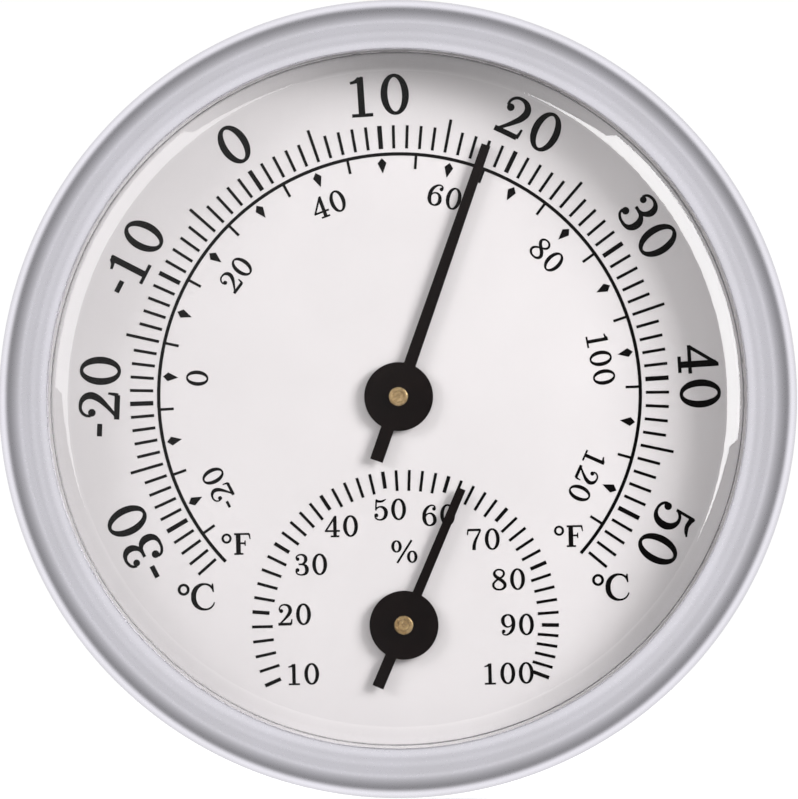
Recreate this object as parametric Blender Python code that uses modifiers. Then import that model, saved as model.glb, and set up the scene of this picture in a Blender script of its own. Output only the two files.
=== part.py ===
"""Round wall and desk thermometer with hygrometer.

A spun bezel holds a clear lens, a dial plate and a moulded chassis ring. Behind the dial
two spiral-coil movements turn the pointers, and a screwed rear cover carries a fold-out leg.

Dial frame: X to the right, Y up, Z from the wall towards the reader, with Z = 0 on the
cover's flat back. The empty "case_frame" turns that frame upright, so the dial faces -Y.
"""

import math

import bmesh
import bpy

# Driving dimensions, in metres unless a name says degrees or count.
clearance = 0.0003

# Case
case_radius = 0.065
case_depth = 0.025
bezel_wall = 0.0008
bezel_corner_radius = 0.004
bezel_lip_round = 0.00215
bezel_lip_drop = 0.0004
bezel_face_width = 0.00795
hem_width = 0.0012
hem_height = 0.0056
hem_round = 0.001

# Lens and its gasket
lens_wall = 0.0014
lens_step_down = 0.0008
lens_shoulder_radius = 0.0032
lens_gap_to_lip = 0.00045
lens_flange_inset = 0.0015
gasket_width = 0.0037
gasket_inset = 0.0022

# Chassis ring and dial plate
ring_overhang = 0.00055
dial_recess_depth = 0.0058
dial_thickness = 0.0005
dial_seat_width = 0.0008
ring_face_wall = 0.0018
ring_pocket_width = 0.0022
ring_pocket_degrees = 66.0

# Rear cover
cover_floor = 0.0018
cover_wall = 0.0021
cover_flange_thickness = 0.0018
cover_edge_radius = 0.002
spigot_play = 0.0004
cover_screw_count = 4
cover_screw_inset = 0.0021
screw_shank_radius = 0.00085
screw_length = 0.008
screw_head_radius = 0.0018
screw_head_height = 0.0013
screw_slot_width = 0.0005
screw_slot_depth = 0.0007
screw_slot_reach = 0.00075
screw_head_round = 0.0005
screw_point = 0.0004

# Keyhole and vents
keyhole_margin = 0.0092
keyhole_head_radius = 0.0045
keyhole_slot_width = 0.005
keyhole_slot_length = 0.0085
vent_width = 0.002
vent_pitch = 0.005
vent_margin = 0.004
body_vent_start = 0.020
body_vent_length = 0.030
body_vent_height = 0.004
coil_vent_start = 0.0155
coil_vent_length = 0.016

# Desk leg
leg_hinge_height = -0.014
leg_tip_margin = 0.0017
leg_thickness = 0.002
leg_root_width = 0.0154
leg_tip_width = 0.0092
leg_tip_round = 0.0018
leg_barrel_radius = 0.0019
leg_barrel_drop = 0.00005
leg_barrel_play = 0.0005
leg_pin_radius = 0.00075
leg_pin_grip = 0.00325
leg_side_gap = 0.0004
leg_notch_radius = 0.0035
leg_notch_spread = 0.0066
leg_notch_rise = 0.0056
leg_tray_width = 0.024
leg_tray_wall = 0.0014
leg_block_wall = 0.0024

# Movements: both share their parts and stack and differ in place and pointer
temperature_axis_height = 0.00045
movement_spacing = 0.03735
temperature_rest_degrees = 20.5
humidity_rest_degrees = 24.2
arbor_radius = 0.0006
arbor_tip_radius = 0.00045
bush_barrel_radius = 0.002
bush_flange_radius = 0.0032
bush_flange_thickness = 0.0005
washer_radius = 0.0036
washer_thickness = 0.0005
strap_thickness = 0.0008
strap_width = 0.007
strap_coil_gap = 0.003
strap_nose = 0.0036
strap_bend_radius = 0.001
adjuster_thickness = 0.0008
adjuster_hub_radius = 0.004
adjuster_handle = 0.005
adjuster_width = 0.0024
stud_radius = 0.00045
nut_radius = 0.0034
nut_thickness = 0.0014
coil_width = 0.0016
coil_strip = 0.0003
coil_outer_radius = 0.0076
coil_turns = 4
coil_end_play = 0.0001
collet_radius = 0.0019
rear_bush_flange_radius = 0.0022
rear_bush_flange_thickness = 0.0004
rear_bush_barrel_radius = 0.0015

# Pointers: hub radius, arm length, half widths at hub and tip, tail length and half width
pointer_thickness = 0.0004
boss_radius = 0.0016
boss_stem_radius = 0.0011
boss_height = 0.00095
boss_face_wall = 0.0004
boss_edge = 0.00025
centre_mark_radius = 0.0003
centre_mark_depth = 0.0002
pointer_sizes = {
    "temperature": (0.00563, 0.04355, 0.00100, 0.00076, 0.0111, 0.00109),
    "humidity": (0.00563, 0.02420, 0.00080, 0.00072, 0.0110, 0.00096),
}

# How finely round pieces are faceted
case_steps = 60
small_steps = 16
coil_steps_per_turn = 16
cut_past = 0.001

# Heights and radii that follow from the dimensions above
opening_radius = case_radius - bezel_face_width
bezel_inner_radius = case_radius - bezel_wall
crest_outer_radius = case_radius - bezel_corner_radius
crest_inner_radius = opening_radius + bezel_lip_round
bezel_underside = case_depth - bezel_wall
lip_bottom = case_depth - bezel_lip_round - bezel_lip_drop
hem_top = hem_height + bezel_wall
hem_inner_radius = bezel_inner_radius - hem_width

lens_top = case_depth - lens_step_down
lens_radius = opening_radius - lens_gap_to_lip
lens_plateau_radius = lens_radius - lens_shoulder_radius
lens_flange_top = lens_top - lens_shoulder_radius
lens_flange_bottom = lens_flange_top - lens_wall
lens_flange_radius = case_radius - bezel_wall - lens_flange_inset

ring_radius = bezel_inner_radius - clearance
ring_inner_radius = opening_radius + ring_overhang
ring_front = lens_flange_bottom - clearance
ring_back = hem_top + clearance
dial_front = ring_front - dial_recess_depth
dial_seat = dial_front + clearance
dial_back = dial_front - dial_thickness
dial_radius = ring_inner_radius + dial_seat_width
ring_bore_radius = dial_radius + clearance

cover_spigot_radius = ring_bore_radius - spigot_play
cover_inner_radius = cover_spigot_radius - cover_wall
cover_flange_radius = hem_inner_radius - clearance
cover_flange_top = ring_back - clearance
cover_flange_bottom = cover_flange_top - cover_flange_thickness
cover_screw_circle = cover_flange_radius - cover_screw_inset
cover_flat_radius = cover_spigot_radius - cover_edge_radius
keyhole_height = cover_inner_radius - keyhole_margin - keyhole_slot_length - keyhole_slot_width / 2

bush_flange_bottom = dial_front + clearance
bush_flange_top = bush_flange_bottom + bush_flange_thickness
washer_bottom = dial_back - clearance - washer_thickness
strap_front = washer_bottom - clearance
adjuster_front = strap_front - strap_thickness - clearance
nut_front = adjuster_front - adjuster_thickness - clearance
nut_back = nut_front - nut_thickness
collet_front = nut_back - clearance
collet_back = collet_front - coil_width - 2 * coil_end_play
coil_centre = (collet_front + collet_back) / 2
rear_flange_front = collet_back - clearance
rear_flange_back = rear_flange_front - rear_bush_flange_thickness
strap_back_front = rear_flange_back - clearance
strap_back = strap_back_front - strap_thickness
pointer_back = bush_flange_top + clearance
pointer_front = pointer_back + pointer_thickness
boss_back = pointer_front + clearance
boss_front = boss_back + boss_height
stud_distance = coil_outer_radius + coil_strip / 2 + clearance + stud_radius
strap_reach = coil_outer_radius + strap_coil_gap
adjuster_reach = stud_distance + adjuster_handle

leg_back = clearance
leg_front = leg_back + leg_thickness
leg_axis_height = leg_back + leg_barrel_radius + leg_barrel_drop
leg_pocket_depth = leg_front + clearance
leg_deep_pocket_depth = leg_axis_height + leg_barrel_radius + clearance
leg_tip_height = -(cover_flat_radius - leg_tip_margin)
leg_pin_length = leg_root_width + 2 * leg_pin_grip
leg_block_width = leg_root_width + 2 * (leg_side_gap + leg_block_wall)


# Scene and finishes

def clear_scene():
    for item in list(bpy.data.objects):
        bpy.data.objects.remove(item, do_unlink=True)


def new_collection(name):
    group = bpy.data.collections.new(name)
    bpy.context.scene.collection.children.link(group)
    return group


def new_finish(name, colour, roughness, metallic=0.0, alpha=1.0):
    finish = bpy.data.materials.new(name)
    finish.use_nodes = True
    shader = finish.node_tree.nodes["Principled BSDF"]
    shader.inputs["Base Color"].default_value = (*colour, 1.0)
    shader.inputs["Roughness"].default_value = roughness
    shader.inputs["Metallic"].default_value = metallic
    shader.inputs["Alpha"].default_value = alpha
    return finish


clear_scene()
parts = new_collection("dial_hygrometer")
cutters = new_collection("cutters")

finishes = {
    "bezel": new_finish("satin_silver_aluminium", (0.58, 0.57, 0.61), 0.35, 1.0),
    "lens": new_finish("clear_acrylic", (0.95, 0.96, 0.96), 0.05, 0.0, 0.35),
    "gasket": new_finish("black_foam_rubber", (0.03, 0.03, 0.03), 0.9),
    "abs": new_finish("white_abs", (0.78, 0.78, 0.77), 0.5),
    "dial": new_finish("satin_dial_aluminium", (0.83, 0.82, 0.82), 0.4, 0.6),
    "steel": new_finish("zinc_plated_steel", (0.55, 0.56, 0.58), 0.35, 1.0),
    "brass": new_finish("turned_brass", (0.72, 0.52, 0.24), 0.3, 1.0),
    "bimetal": new_finish("bimetal_strip", (0.60, 0.50, 0.40), 0.35, 1.0),
    "hygro": new_finish("hygroscopic_strip", (0.62, 0.50, 0.33), 0.7),
    "pointer": new_finish("black_pointer_paint", (0.012, 0.010, 0.010), 0.45),
}


# Building blocks

def new_frame(name, place, turn=(0.0, 0.0, 0.0), parent=None):
    frame = bpy.data.objects.new(name, None)
    frame.location = place
    frame.rotation_euler = turn
    frame.parent = parent
    parts.objects.link(frame)
    return frame


def as_part(item, finish, parent):
    item.data.materials.append(finishes[finish])
    item.parent = parent
    parts.objects.link(item)
    item.data.shade_smooth()
    item.data.set_sharp_from_angle(angle=math.radians(35))
    return item


def as_cutter(item, parent):
    item.hide_render = True
    item.display_type = "WIRE"
    item.parent = parent
    cutters.objects.link(item)
    return item


def arc(centre, radius, start, end, count):
    """Points on an arc, degrees measured from +X towards +Y, both ends included."""
    points = []
    for step in range(count + 1):
        angle = math.radians(start + (end - start) * step / count)
        points.append((centre[0] + radius * math.cos(angle), centre[1] + radius * math.sin(angle)))
    return points


def circle(centre, radius, count):
    return arc(centre, radius, 0.0, 360.0, count)[:-1]


def capsule(centre, width, length, count=6):
    """Upright slot outline with round ends."""
    half = width / 2
    reach = length / 2 - half
    top = arc((centre[0], centre[1] + reach), half, 0.0, 180.0, count)
    bottom = arc((centre[0], centre[1] - reach), half, 180.0, 360.0, count)
    return top + bottom


def turned(name, profile, steps, ring=False):
    """Solid turned about Z. The (radius, height) points run down its outer side."""
    mesh = bpy.data.meshes.new(name)
    points = [(radius, 0.0, height) for radius, height in profile]
    edges = [(index, index + 1) for index in range(len(points) - 1)]
    if ring:
        edges.append((len(points) - 1, 0))
    mesh.from_pydata(points, edges, [])
    item = bpy.data.objects.new(name, mesh)
    screw = item.modifiers.new("turn", "SCREW")
    screw.angle = math.tau
    screw.steps = steps
    screw.render_steps = steps
    screw.use_merge_vertices = True
    screw.merge_threshold = 0.00001
    return item


def flat(name, outlines, bottom, top):
    """Plate between two heights. The first outline is its edge, the others are holes."""
    curve = bpy.data.curves.new(name, "CURVE")
    curve.dimensions = "2D"
    curve.fill_mode = "BOTH"
    curve.extrude = (top - bottom) / 2
    for outline in outlines:
        spline = curve.splines.new("POLY")
        spline.points.add(len(outline) - 1)
        for point, (across, up) in zip(spline.points, outline):
            point.co = (across, up, 0.0, 1.0)
        spline.use_cyclic_u = True
    source = bpy.data.objects.new(name + "_outline", curve)
    bpy.context.scene.collection.objects.link(source)
    mesh = bpy.data.meshes.new_from_object(source.evaluated_get(bpy.context.evaluated_depsgraph_get()))
    bpy.data.objects.remove(source, do_unlink=True)
    bpy.data.curves.remove(curve)
    shape = bmesh.new()
    shape.from_mesh(mesh)
    bmesh.ops.translate(shape, verts=shape.verts, vec=(0.0, 0.0, (top + bottom) / 2))
    bmesh.ops.remove_doubles(shape, verts=shape.verts, dist=0.000001)
    bmesh.ops.recalc_face_normals(shape, faces=shape.faces)
    shape.to_mesh(mesh)
    shape.free()
    mesh.name = name
    return bpy.data.objects.new(name, mesh)


def rod(name, radius, length, steps):
    """Cylinder along Z, centred on its own origin."""
    mesh = bpy.data.meshes.new(name)
    shape = bmesh.new()
    bmesh.ops.create_cone(
        shape, cap_ends=True, segments=steps, radius1=radius, radius2=radius, depth=length
    )
    shape.to_mesh(mesh)
    shape.free()
    return bpy.data.objects.new(name, mesh)


def block(name, width, height, depth, centre):
    mesh = bpy.data.meshes.new(name)
    shape = bmesh.new()
    bmesh.ops.create_cube(shape, size=1.0)
    bmesh.ops.scale(shape, verts=shape.verts, vec=(width, height, depth))
    bmesh.ops.translate(shape, verts=shape.verts, vec=centre)
    shape.to_mesh(mesh)
    shape.free()
    return bpy.data.objects.new(name, mesh)


def combine(item, tool, operation):
    boolean = item.modifiers.new(tool.name, "BOOLEAN")
    boolean.operation = operation
    boolean.object = tool
    boolean.solver = "EXACT"


# Case

def make_bezel(frame):
    corner_centre = (crest_outer_radius, case_depth - bezel_corner_radius)
    outer_corner = arc(corner_centre, bezel_corner_radius, 90, 0, 4)
    hem_corner = arc((case_radius - hem_round, hem_height + hem_round), hem_round, 0, -90, 2)
    inner_corner = arc(corner_centre, bezel_corner_radius - bezel_wall, 0, 90, 3)
    lip_centre = (crest_inner_radius, case_depth - bezel_lip_round)
    lip_under = arc(lip_centre, bezel_lip_round - bezel_wall, 90, 180, 2)
    lip_over = arc(lip_centre, bezel_lip_round, 180, 90, 3)
    hem = [
        (hem_inner_radius, hem_height),
        (hem_inner_radius, hem_top),
        (bezel_inner_radius, hem_top),
    ]
    lip_edge = [(opening_radius + bezel_wall, lip_bottom), (opening_radius, lip_bottom)]
    profile = outer_corner + hem_corner + hem + inner_corner + lip_under + lip_edge + lip_over
    as_part(turned("bezel", profile, case_steps, ring=True), "bezel", frame)


def make_lens(frame):
    centre = (lens_plateau_radius, lens_top - lens_shoulder_radius)
    shoulder = arc(centre, lens_shoulder_radius, 90, 0, 4)
    inside = arc(centre, lens_shoulder_radius - lens_wall, 0, 90, 3)
    flange = [
        (lens_flange_radius, lens_flange_top),
        (lens_flange_radius, lens_flange_bottom),
        (lens_radius - lens_wall, lens_flange_bottom),
    ]
    profile = [(0.0, lens_top)] + shoulder + flange + inside + [(0.0, lens_top - lens_wall)]
    as_part(turned("lens", profile, case_steps), "lens", frame)


def bezel_underside_at(radius):
    """Height of the bezel's inner face over its rounded outer corner."""
    reach = max(radius - crest_outer_radius, 0.0)
    inner_round = bezel_corner_radius - bezel_wall
    return case_depth - bezel_corner_radius + math.sqrt(inner_round ** 2 - reach ** 2)


def make_gasket(frame):
    outer = case_radius - bezel_wall - gasket_inset + clearance / 2
    inner = outer - gasket_width
    top = bezel_underside_at(outer) - clearance
    bottom = lens_flange_top + clearance
    profile = [(outer, top), (outer, bottom), (inner, bottom), (inner, top)]
    as_part(turned("lens_gasket", profile, case_steps, ring=True), "gasket", frame)


def screw_places():
    """Centres of the cover screws, evenly spaced and clear of the leg and the keyhole."""
    places = []
    for index in range(cover_screw_count):
        angle = math.tau * (index + 0.5) / cover_screw_count
        places.append((cover_screw_circle * math.cos(angle), cover_screw_circle * math.sin(angle)))
    return places


def make_chassis_ring(frame):
    profile = [
        (ring_radius, ring_front),
        (ring_radius, ring_back),
        (ring_bore_radius, ring_back),
        (ring_bore_radius, dial_seat),
        (ring_inner_radius, dial_seat),
        (ring_inner_radius, ring_front),
    ]
    ring = as_part(turned("chassis_ring", profile, case_steps, ring=True), "abs", frame)
    hole_depth = cover_flange_bottom + screw_length + clearance
    middle = (ring_bore_radius + ring_radius) / 2
    pocket_inner = middle - ring_pocket_width / 2
    pocket_outer = middle + ring_pocket_width / 2
    for index, place in enumerate(screw_places()):
        outline = circle(place, screw_shank_radius + clearance, 12)
        hole = flat(f"ring_screw_hole_{index + 1}", [outline], ring_back - cut_past, hole_depth)
        combine(ring, as_cutter(hole, frame), "DIFFERENCE")
        start = 360 * index / cover_screw_count - ring_pocket_degrees / 2
        end = start + ring_pocket_degrees
        band = arc((0.0, 0.0), pocket_outer, start, end, 11)
        band += arc((0.0, 0.0), pocket_inner, end, start, 11)
        pocket = flat(f"ring_pocket_{index + 1}", [band], ring_back - cut_past, ring_front - ring_face_wall)
        combine(ring, as_cutter(pocket, frame), "DIFFERENCE")


def make_dial_plate(frame, axes):
    outlines = [circle((0.0, 0.0), dial_radius, case_steps)]
    for height in axes:
        outlines.append(circle((0.0, height), bush_barrel_radius + clearance, small_steps))
    as_part(flat("dial_plate", outlines, dial_back, dial_front), "dial", frame)


# Rear cover with its leg

def leg_outline(margin):
    """The leg's plate, tapered from its hinge to a rounded tip, grown by a margin."""
    root = leg_root_width / 2 + margin
    tip = leg_tip_width / 2 + margin
    bottom = leg_tip_height - margin
    corner = leg_tip_round
    right = arc((tip - corner, bottom + corner), corner, -90, 0, 4)
    left = arc((-tip + corner, bottom + corner), corner, 180, 270, 4)
    return [(-root, leg_hinge_height), *left, *right, (root, leg_hinge_height)]


def keyhole_outline():
    """Round head hole with a narrow slot rising from it."""
    half = keyhole_slot_width / 2
    spread = math.degrees(math.asin(half / keyhole_head_radius))
    head = arc((0.0, keyhole_height), keyhole_head_radius, 90 + spread, 450 - spread, 16)
    top = arc((0.0, keyhole_height + keyhole_slot_length), half, 0, 180, 6)
    return head + top


def vent_row(start, height, length):
    """Upright slots on both sides, as far out as the cover's wall leaves room."""
    field = cover_inner_radius - vent_margin
    outlines = []
    across = start
    while math.hypot(across + vent_width / 2, abs(height) + length / 2) < field:
        for side in (-1, 1):
            outlines.append(capsule((side * across, height), vent_width, length, 4))
        across += vent_pitch
    return outlines


def vent_outlines(humidity_height):
    body_vents = vent_row(body_vent_start, body_vent_height, body_vent_length)
    return body_vents + vent_row(coil_vent_start, humidity_height, coil_vent_length)


def make_rear_cover(frame, humidity_height):
    edge_centre = (cover_flat_radius, cover_edge_radius)
    profile = [
        (0.0, cover_floor),
        (cover_inner_radius, cover_floor),
        (cover_inner_radius, dial_back - clearance),
        (cover_spigot_radius, dial_back - clearance),
        (cover_spigot_radius, cover_flange_top),
        (cover_flange_radius, cover_flange_top),
        (cover_flange_radius, cover_flange_bottom),
        (cover_spigot_radius, cover_flange_bottom),
        *arc(edge_centre, cover_edge_radius, 0, -90, 3),
        (0.0, 0.0),
    ]
    cover = as_part(turned("rear_cover", profile, case_steps), "abs", frame)

    tray_top = leg_pocket_depth + leg_tray_wall
    tray_low = leg_tip_height - leg_tray_wall
    tray_high = leg_hinge_height
    base = cover_floor / 2
    tray = block(
        "leg_tray", leg_tray_width, tray_high - tray_low, tray_top - base,
        (0.0, (tray_high + tray_low) / 2, (tray_top + base) / 2),
    )
    combine(cover, as_cutter(tray, frame), "UNION")

    block_top = leg_deep_pocket_depth + leg_tray_wall
    pocket_half = leg_barrel_radius + leg_barrel_play
    block_half = pocket_half + leg_tray_wall
    hinge_block = block(
        "leg_hinge_block", leg_block_width, 2 * block_half, block_top - base,
        (0.0, leg_hinge_height, (block_top + base) / 2),
    )
    combine(cover, as_cutter(hinge_block, frame), "UNION")

    pocket = flat("leg_pocket", [leg_outline(leg_side_gap)], -cut_past, leg_pocket_depth)
    combine(cover, as_cutter(pocket, frame), "DIFFERENCE")
    deep_width = leg_root_width + 2 * leg_side_gap
    deep_pocket = block(
        "leg_barrel_pocket", deep_width, 2 * pocket_half, leg_deep_pocket_depth + cut_past,
        (0.0, leg_hinge_height, (leg_deep_pocket_depth - cut_past) / 2),
    )
    combine(cover, as_cutter(deep_pocket, frame), "DIFFERENCE")

    # The pin's bore is blind on the left and open on the right, where the pin goes in.
    bore_left = -leg_pin_length / 2 - clearance
    bore_right = leg_tray_width / 2 + cut_past
    bore = rod("leg_pin_bore", leg_pin_radius + clearance, bore_right - bore_left, 16)
    bore.location = ((bore_left + bore_right) / 2, leg_hinge_height, leg_axis_height)
    bore.rotation_euler = (0.0, math.pi / 2, 0.0)
    combine(cover, as_cutter(bore, frame), "DIFFERENCE")

    for side, name in ((-1, "left"), (1, "right")):
        centre = (side * leg_notch_spread, leg_tip_height + leg_notch_rise)
        outline = circle(centre, leg_notch_radius, small_steps)
        notch = flat(f"finger_notch_{name}", [outline], -cut_past, leg_pocket_depth)
        combine(cover, as_cutter(notch, frame), "DIFFERENCE")

    keyhole = flat("keyhole", [keyhole_outline()], -cut_past, cover_floor + cut_past)
    combine(cover, as_cutter(keyhole, frame), "DIFFERENCE")
    vents = flat("vents", vent_outlines(humidity_height), -cut_past, cover_floor + cut_past)
    combine(cover, as_cutter(vents, frame), "DIFFERENCE")
    holes = [circle(place, screw_shank_radius + clearance, 12) for place in screw_places()]
    screw_holes = flat(
        "cover_screw_holes", holes, cover_flange_bottom - cut_past, cover_flange_top + cut_past
    )
    combine(cover, as_cutter(screw_holes, frame), "DIFFERENCE")


def make_cover_screws(frame):
    """Pan-head screws, each with a cross recess in its head."""
    head_top = -clearance
    head_bottom = head_top - screw_head_height
    profile = [
        (0.0, screw_length),
        (screw_shank_radius - screw_point, screw_length),
        (screw_shank_radius, screw_length - screw_point),
        (screw_shank_radius, head_top),
        (screw_head_radius, head_top),
        (screw_head_radius, head_bottom + screw_head_round),
        (screw_head_radius - screw_head_round, head_bottom),
        (0.0, head_bottom),
    ]
    cross = screw_slot_width + 2 * screw_slot_reach
    for index, (across, up) in enumerate(screw_places()):
        place = (across, up, cover_flange_bottom)
        seat = new_frame(f"cover_screw_seat_{index + 1}", place, parent=frame)
        screw = as_part(turned(f"cover_screw_{index + 1}", profile, 12), "steel", seat)
        for name, width, height in (
            ("wide", cross, screw_slot_width),
            ("tall", screw_slot_width, cross),
        ):
            centre = (0.0, 0.0, head_bottom + screw_slot_depth / 2 - cut_past / 2)
            slot = block(
                f"screw_slot_{name}_{index + 1}", width, height, screw_slot_depth + cut_past, centre
            )
            combine(screw, as_cutter(slot, seat), "DIFFERENCE")


def make_desk_leg(frame):
    hinge = new_frame("leg_hinge_axis", (0.0, leg_hinge_height, leg_axis_height), parent=frame)
    outline = [(across, up - leg_hinge_height) for across, up in leg_outline(0.0)]
    leg = flat("desk_leg", [outline], leg_back - leg_axis_height, leg_front - leg_axis_height)
    as_part(leg, "abs", hinge)
    barrel = rod("leg_barrel", leg_barrel_radius, leg_root_width, small_steps)
    barrel.rotation_euler = (0.0, math.pi / 2, 0.0)
    combine(leg, as_cutter(barrel, hinge), "UNION")
    bore = rod("leg_bore", leg_pin_radius + clearance, leg_root_width + 2 * cut_past, 16)
    bore.rotation_euler = (0.0, math.pi / 2, 0.0)
    combine(leg, as_cutter(bore, hinge), "DIFFERENCE")
    pin = rod("leg_hinge_pin", leg_pin_radius, leg_pin_length, 16)
    pin.rotation_euler = (0.0, math.pi / 2, 0.0)
    as_part(pin, "steel", hinge)


# Movements

def bored(name, profile, bore):
    """Turned bush: the outer profile, top to bottom, closed by its bore."""
    inside = [(bore, profile[-1][1]), (bore, profile[0][1])]
    return turned(name, profile + inside, small_steps, ring=True)


def make_bushes(name, axis):
    front = [
        (bush_flange_radius, bush_flange_top),
        (bush_flange_radius, bush_flange_bottom),
        (bush_barrel_radius, bush_flange_bottom),
        (bush_barrel_radius, nut_back),
    ]
    as_part(bored(f"{name}_dial_bush", front, arbor_radius + clearance), "brass", axis)
    rear = [
        (rear_bush_flange_radius, rear_flange_front),
        (rear_bush_flange_radius, rear_flange_back),
        (rear_bush_barrel_radius, rear_flange_back),
        (rear_bush_barrel_radius, strap_back),
    ]
    as_part(bored(f"{name}_rear_bush", rear, arbor_radius + clearance), "brass", axis)


def make_washer_and_nut(name, axis):
    hole = bush_barrel_radius + clearance
    washer = [(washer_radius, washer_bottom + washer_thickness), (washer_radius, washer_bottom)]
    as_part(bored(f"{name}_washer", washer, hole), "steel", axis)
    outlines = [circle((0.0, 0.0), nut_radius, 6), circle((0.0, 0.0), hole, small_steps)]
    as_part(flat(f"{name}_lock_nut", outlines, nut_back, nut_front), "brass", axis)


def make_bridge(name, axis):
    """C-shaped strap: a front plate under the dial, a web on the left and a rear plate."""
    left = -strap_reach
    inner_bend = strap_bend_radius - strap_thickness / 2
    outer_bend = inner_bend + strap_thickness
    low = (left + outer_bend, strap_back + outer_bend)
    high = (left + outer_bend, strap_front - outer_bend)
    outline = [
        (strap_nose, strap_back),
        (strap_nose, strap_back + strap_thickness),
        *arc(low, inner_bend, -90, -180, 3),
        *arc(high, inner_bend, 180, 90, 3),
        (strap_nose, strap_front - strap_thickness),
        (strap_nose, strap_front),
        *arc(high, outer_bend, 90, 180, 3),
        *arc(low, outer_bend, 180, 270, 3),
    ]
    bridge = as_part(flat(f"{name}_bridge", [outline], -strap_width / 2, strap_width / 2), "steel", axis)
    # The outline is drawn across and deep, so the strap is turned to stand on its web.
    bridge.rotation_euler = (math.pi / 2, 0.0, 0.0)
    for side, radius, height in (
        ("front", bush_barrel_radius, strap_front - strap_thickness / 2),
        ("rear", rear_bush_barrel_radius, strap_back + strap_thickness / 2),
    ):
        hole = rod(f"{name}_bridge_{side}_hole", radius + clearance, 4 * strap_thickness, small_steps)
        hole.location = (0.0, 0.0, height)
        combine(bridge, as_cutter(hole, axis), "DIFFERENCE")


def make_adjuster(name, axis):
    """Lever gripped under the lock nut; its stud anchors the coil's outer end."""
    half = adjuster_width / 2
    spread = math.degrees(math.asin(half / adjuster_hub_radius))
    edge = arc((0.0, 0.0), adjuster_hub_radius, spread, 360 - spread, 14)
    edge += arc((adjuster_reach - half, 0.0), half, -90, 90, 6)
    hole = circle((0.0, 0.0), bush_barrel_radius + clearance, small_steps)
    back = adjuster_front - adjuster_thickness
    lever = as_part(flat(f"{name}_adjuster", [edge, hole], back, adjuster_front), "steel", axis)
    stud_bottom = coil_centre - coil_width / 2
    stud_top = adjuster_front - adjuster_thickness / 2
    stud = rod(f"{name}_coil_stud", stud_radius, stud_top - stud_bottom, 10)
    stud.location = (stud_distance, 0.0, (stud_top + stud_bottom) / 2)
    combine(lever, as_cutter(stud, axis), "UNION")


def make_coil(name, finish, axis):
    """Flat spiral strip from the collet out to the adjuster's stud."""
    inner = collet_radius + clearance + coil_strip / 2
    steps = coil_steps_per_turn * coil_turns
    mesh = bpy.data.meshes.new(name)
    shape = bmesh.new()
    line = []
    for step in range(steps + 1):
        share = step / steps
        radius = inner + (coil_outer_radius - inner) * share
        angle = -math.tau * coil_turns * (1 - share)
        place = (radius * math.cos(angle), radius * math.sin(angle), coil_centre - coil_width / 2)
        line.append(shape.verts.new(place))
    edges = [shape.edges.new(pair) for pair in zip(line, line[1:])]
    strip = bmesh.ops.extrude_edge_only(shape, edges=edges)
    risen = [item for item in strip["geom"] if isinstance(item, bmesh.types.BMVert)]
    bmesh.ops.translate(shape, verts=risen, vec=(0.0, 0.0, coil_width))
    shape.to_mesh(mesh)
    shape.free()
    coil = as_part(bpy.data.objects.new(name, mesh), finish, axis)
    wall = coil.modifiers.new("strip", "SOLIDIFY")
    wall.thickness = coil_strip
    wall.offset = 0.0
    wall.use_even_offset = True


def make_arbor(name, axis):
    tip_start = bush_flange_top
    tip_end = boss_front - boss_face_wall - clearance
    tail_end = strap_back + coil_end_play
    profile = [
        (0.0, tip_end),
        (arbor_tip_radius, tip_end),
        (arbor_tip_radius, tip_start),
        (arbor_radius, tip_start),
        (arbor_radius, tail_end),
        (0.0, tail_end),
    ]
    as_part(turned(f"{name}_arbor", profile, 14), "steel", axis)
    collet = [(collet_radius, collet_front), (collet_radius, collet_back)]
    as_part(bored(f"{name}_collet", collet, arbor_radius + clearance), "brass", axis)


def make_pointer(name, axis):
    hub, reach, root, tip, tail, tail_half = pointer_sizes[name]
    root_angle = math.degrees(math.asin(root / hub))
    tail_angle = math.degrees(math.asin(tail_half / hub))
    right = arc((0.0, 0.0), hub, 90 - root_angle, -90 + tail_angle, 14)
    left = arc((0.0, 0.0), hub, -90 - tail_angle, -270 + root_angle, 14)
    edge = [(-tip, reach), (tip, reach), *right, (tail_half, -tail), (-tail_half, -tail), *left]
    hole = circle((0.0, 0.0), boss_stem_radius + clearance, small_steps)
    as_part(flat(f"{name}_pointer", [edge, hole], pointer_back, pointer_front), "pointer", axis)


def make_pointer_boss(name, axis):
    """Brass collar that grips the arbor's tip, with a small centre mark in front."""
    bore = arbor_tip_radius + clearance
    bore_top = boss_front - boss_face_wall
    profile = [
        (0.0, boss_front - centre_mark_depth),
        (centre_mark_radius, boss_front - centre_mark_depth),
        (centre_mark_radius, boss_front),
        (boss_radius - boss_edge, boss_front),
        (boss_radius, boss_front - boss_edge),
        (boss_radius, boss_back),
        (boss_stem_radius, boss_back),
        (boss_stem_radius, pointer_back),
        (bore, pointer_back),
        (bore, bore_top),
        (0.0, bore_top),
    ]
    as_part(turned(f"{name}_pointer_boss", profile, small_steps), "brass", axis)


def make_movement(name, height, rest_degrees, coil, finish, frame):
    """One movement: fixed pieces, the adjuster with its coil, and the turning pointer."""
    fixed = new_frame(f"{name}_movement", (0.0, height, 0.0), parent=frame)
    make_bushes(name, fixed)
    make_washer_and_nut(name, fixed)
    make_bridge(name, fixed)
    adjust_axis = new_frame(f"{name}_adjust_axis", (0.0, height, 0.0), parent=frame)
    make_adjuster(name, adjust_axis)
    make_coil(coil, finish, adjust_axis)
    # Seen from the front the rest reading turns clockwise, which is negative about Z.
    turn = (0.0, 0.0, -math.radians(rest_degrees))
    pointer_axis = new_frame(f"{name}_pointer_axis", (0.0, height, 0.0), turn, frame)
    make_arbor(name, pointer_axis)
    make_pointer(name, pointer_axis)
    make_pointer_boss(name, pointer_axis)


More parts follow.
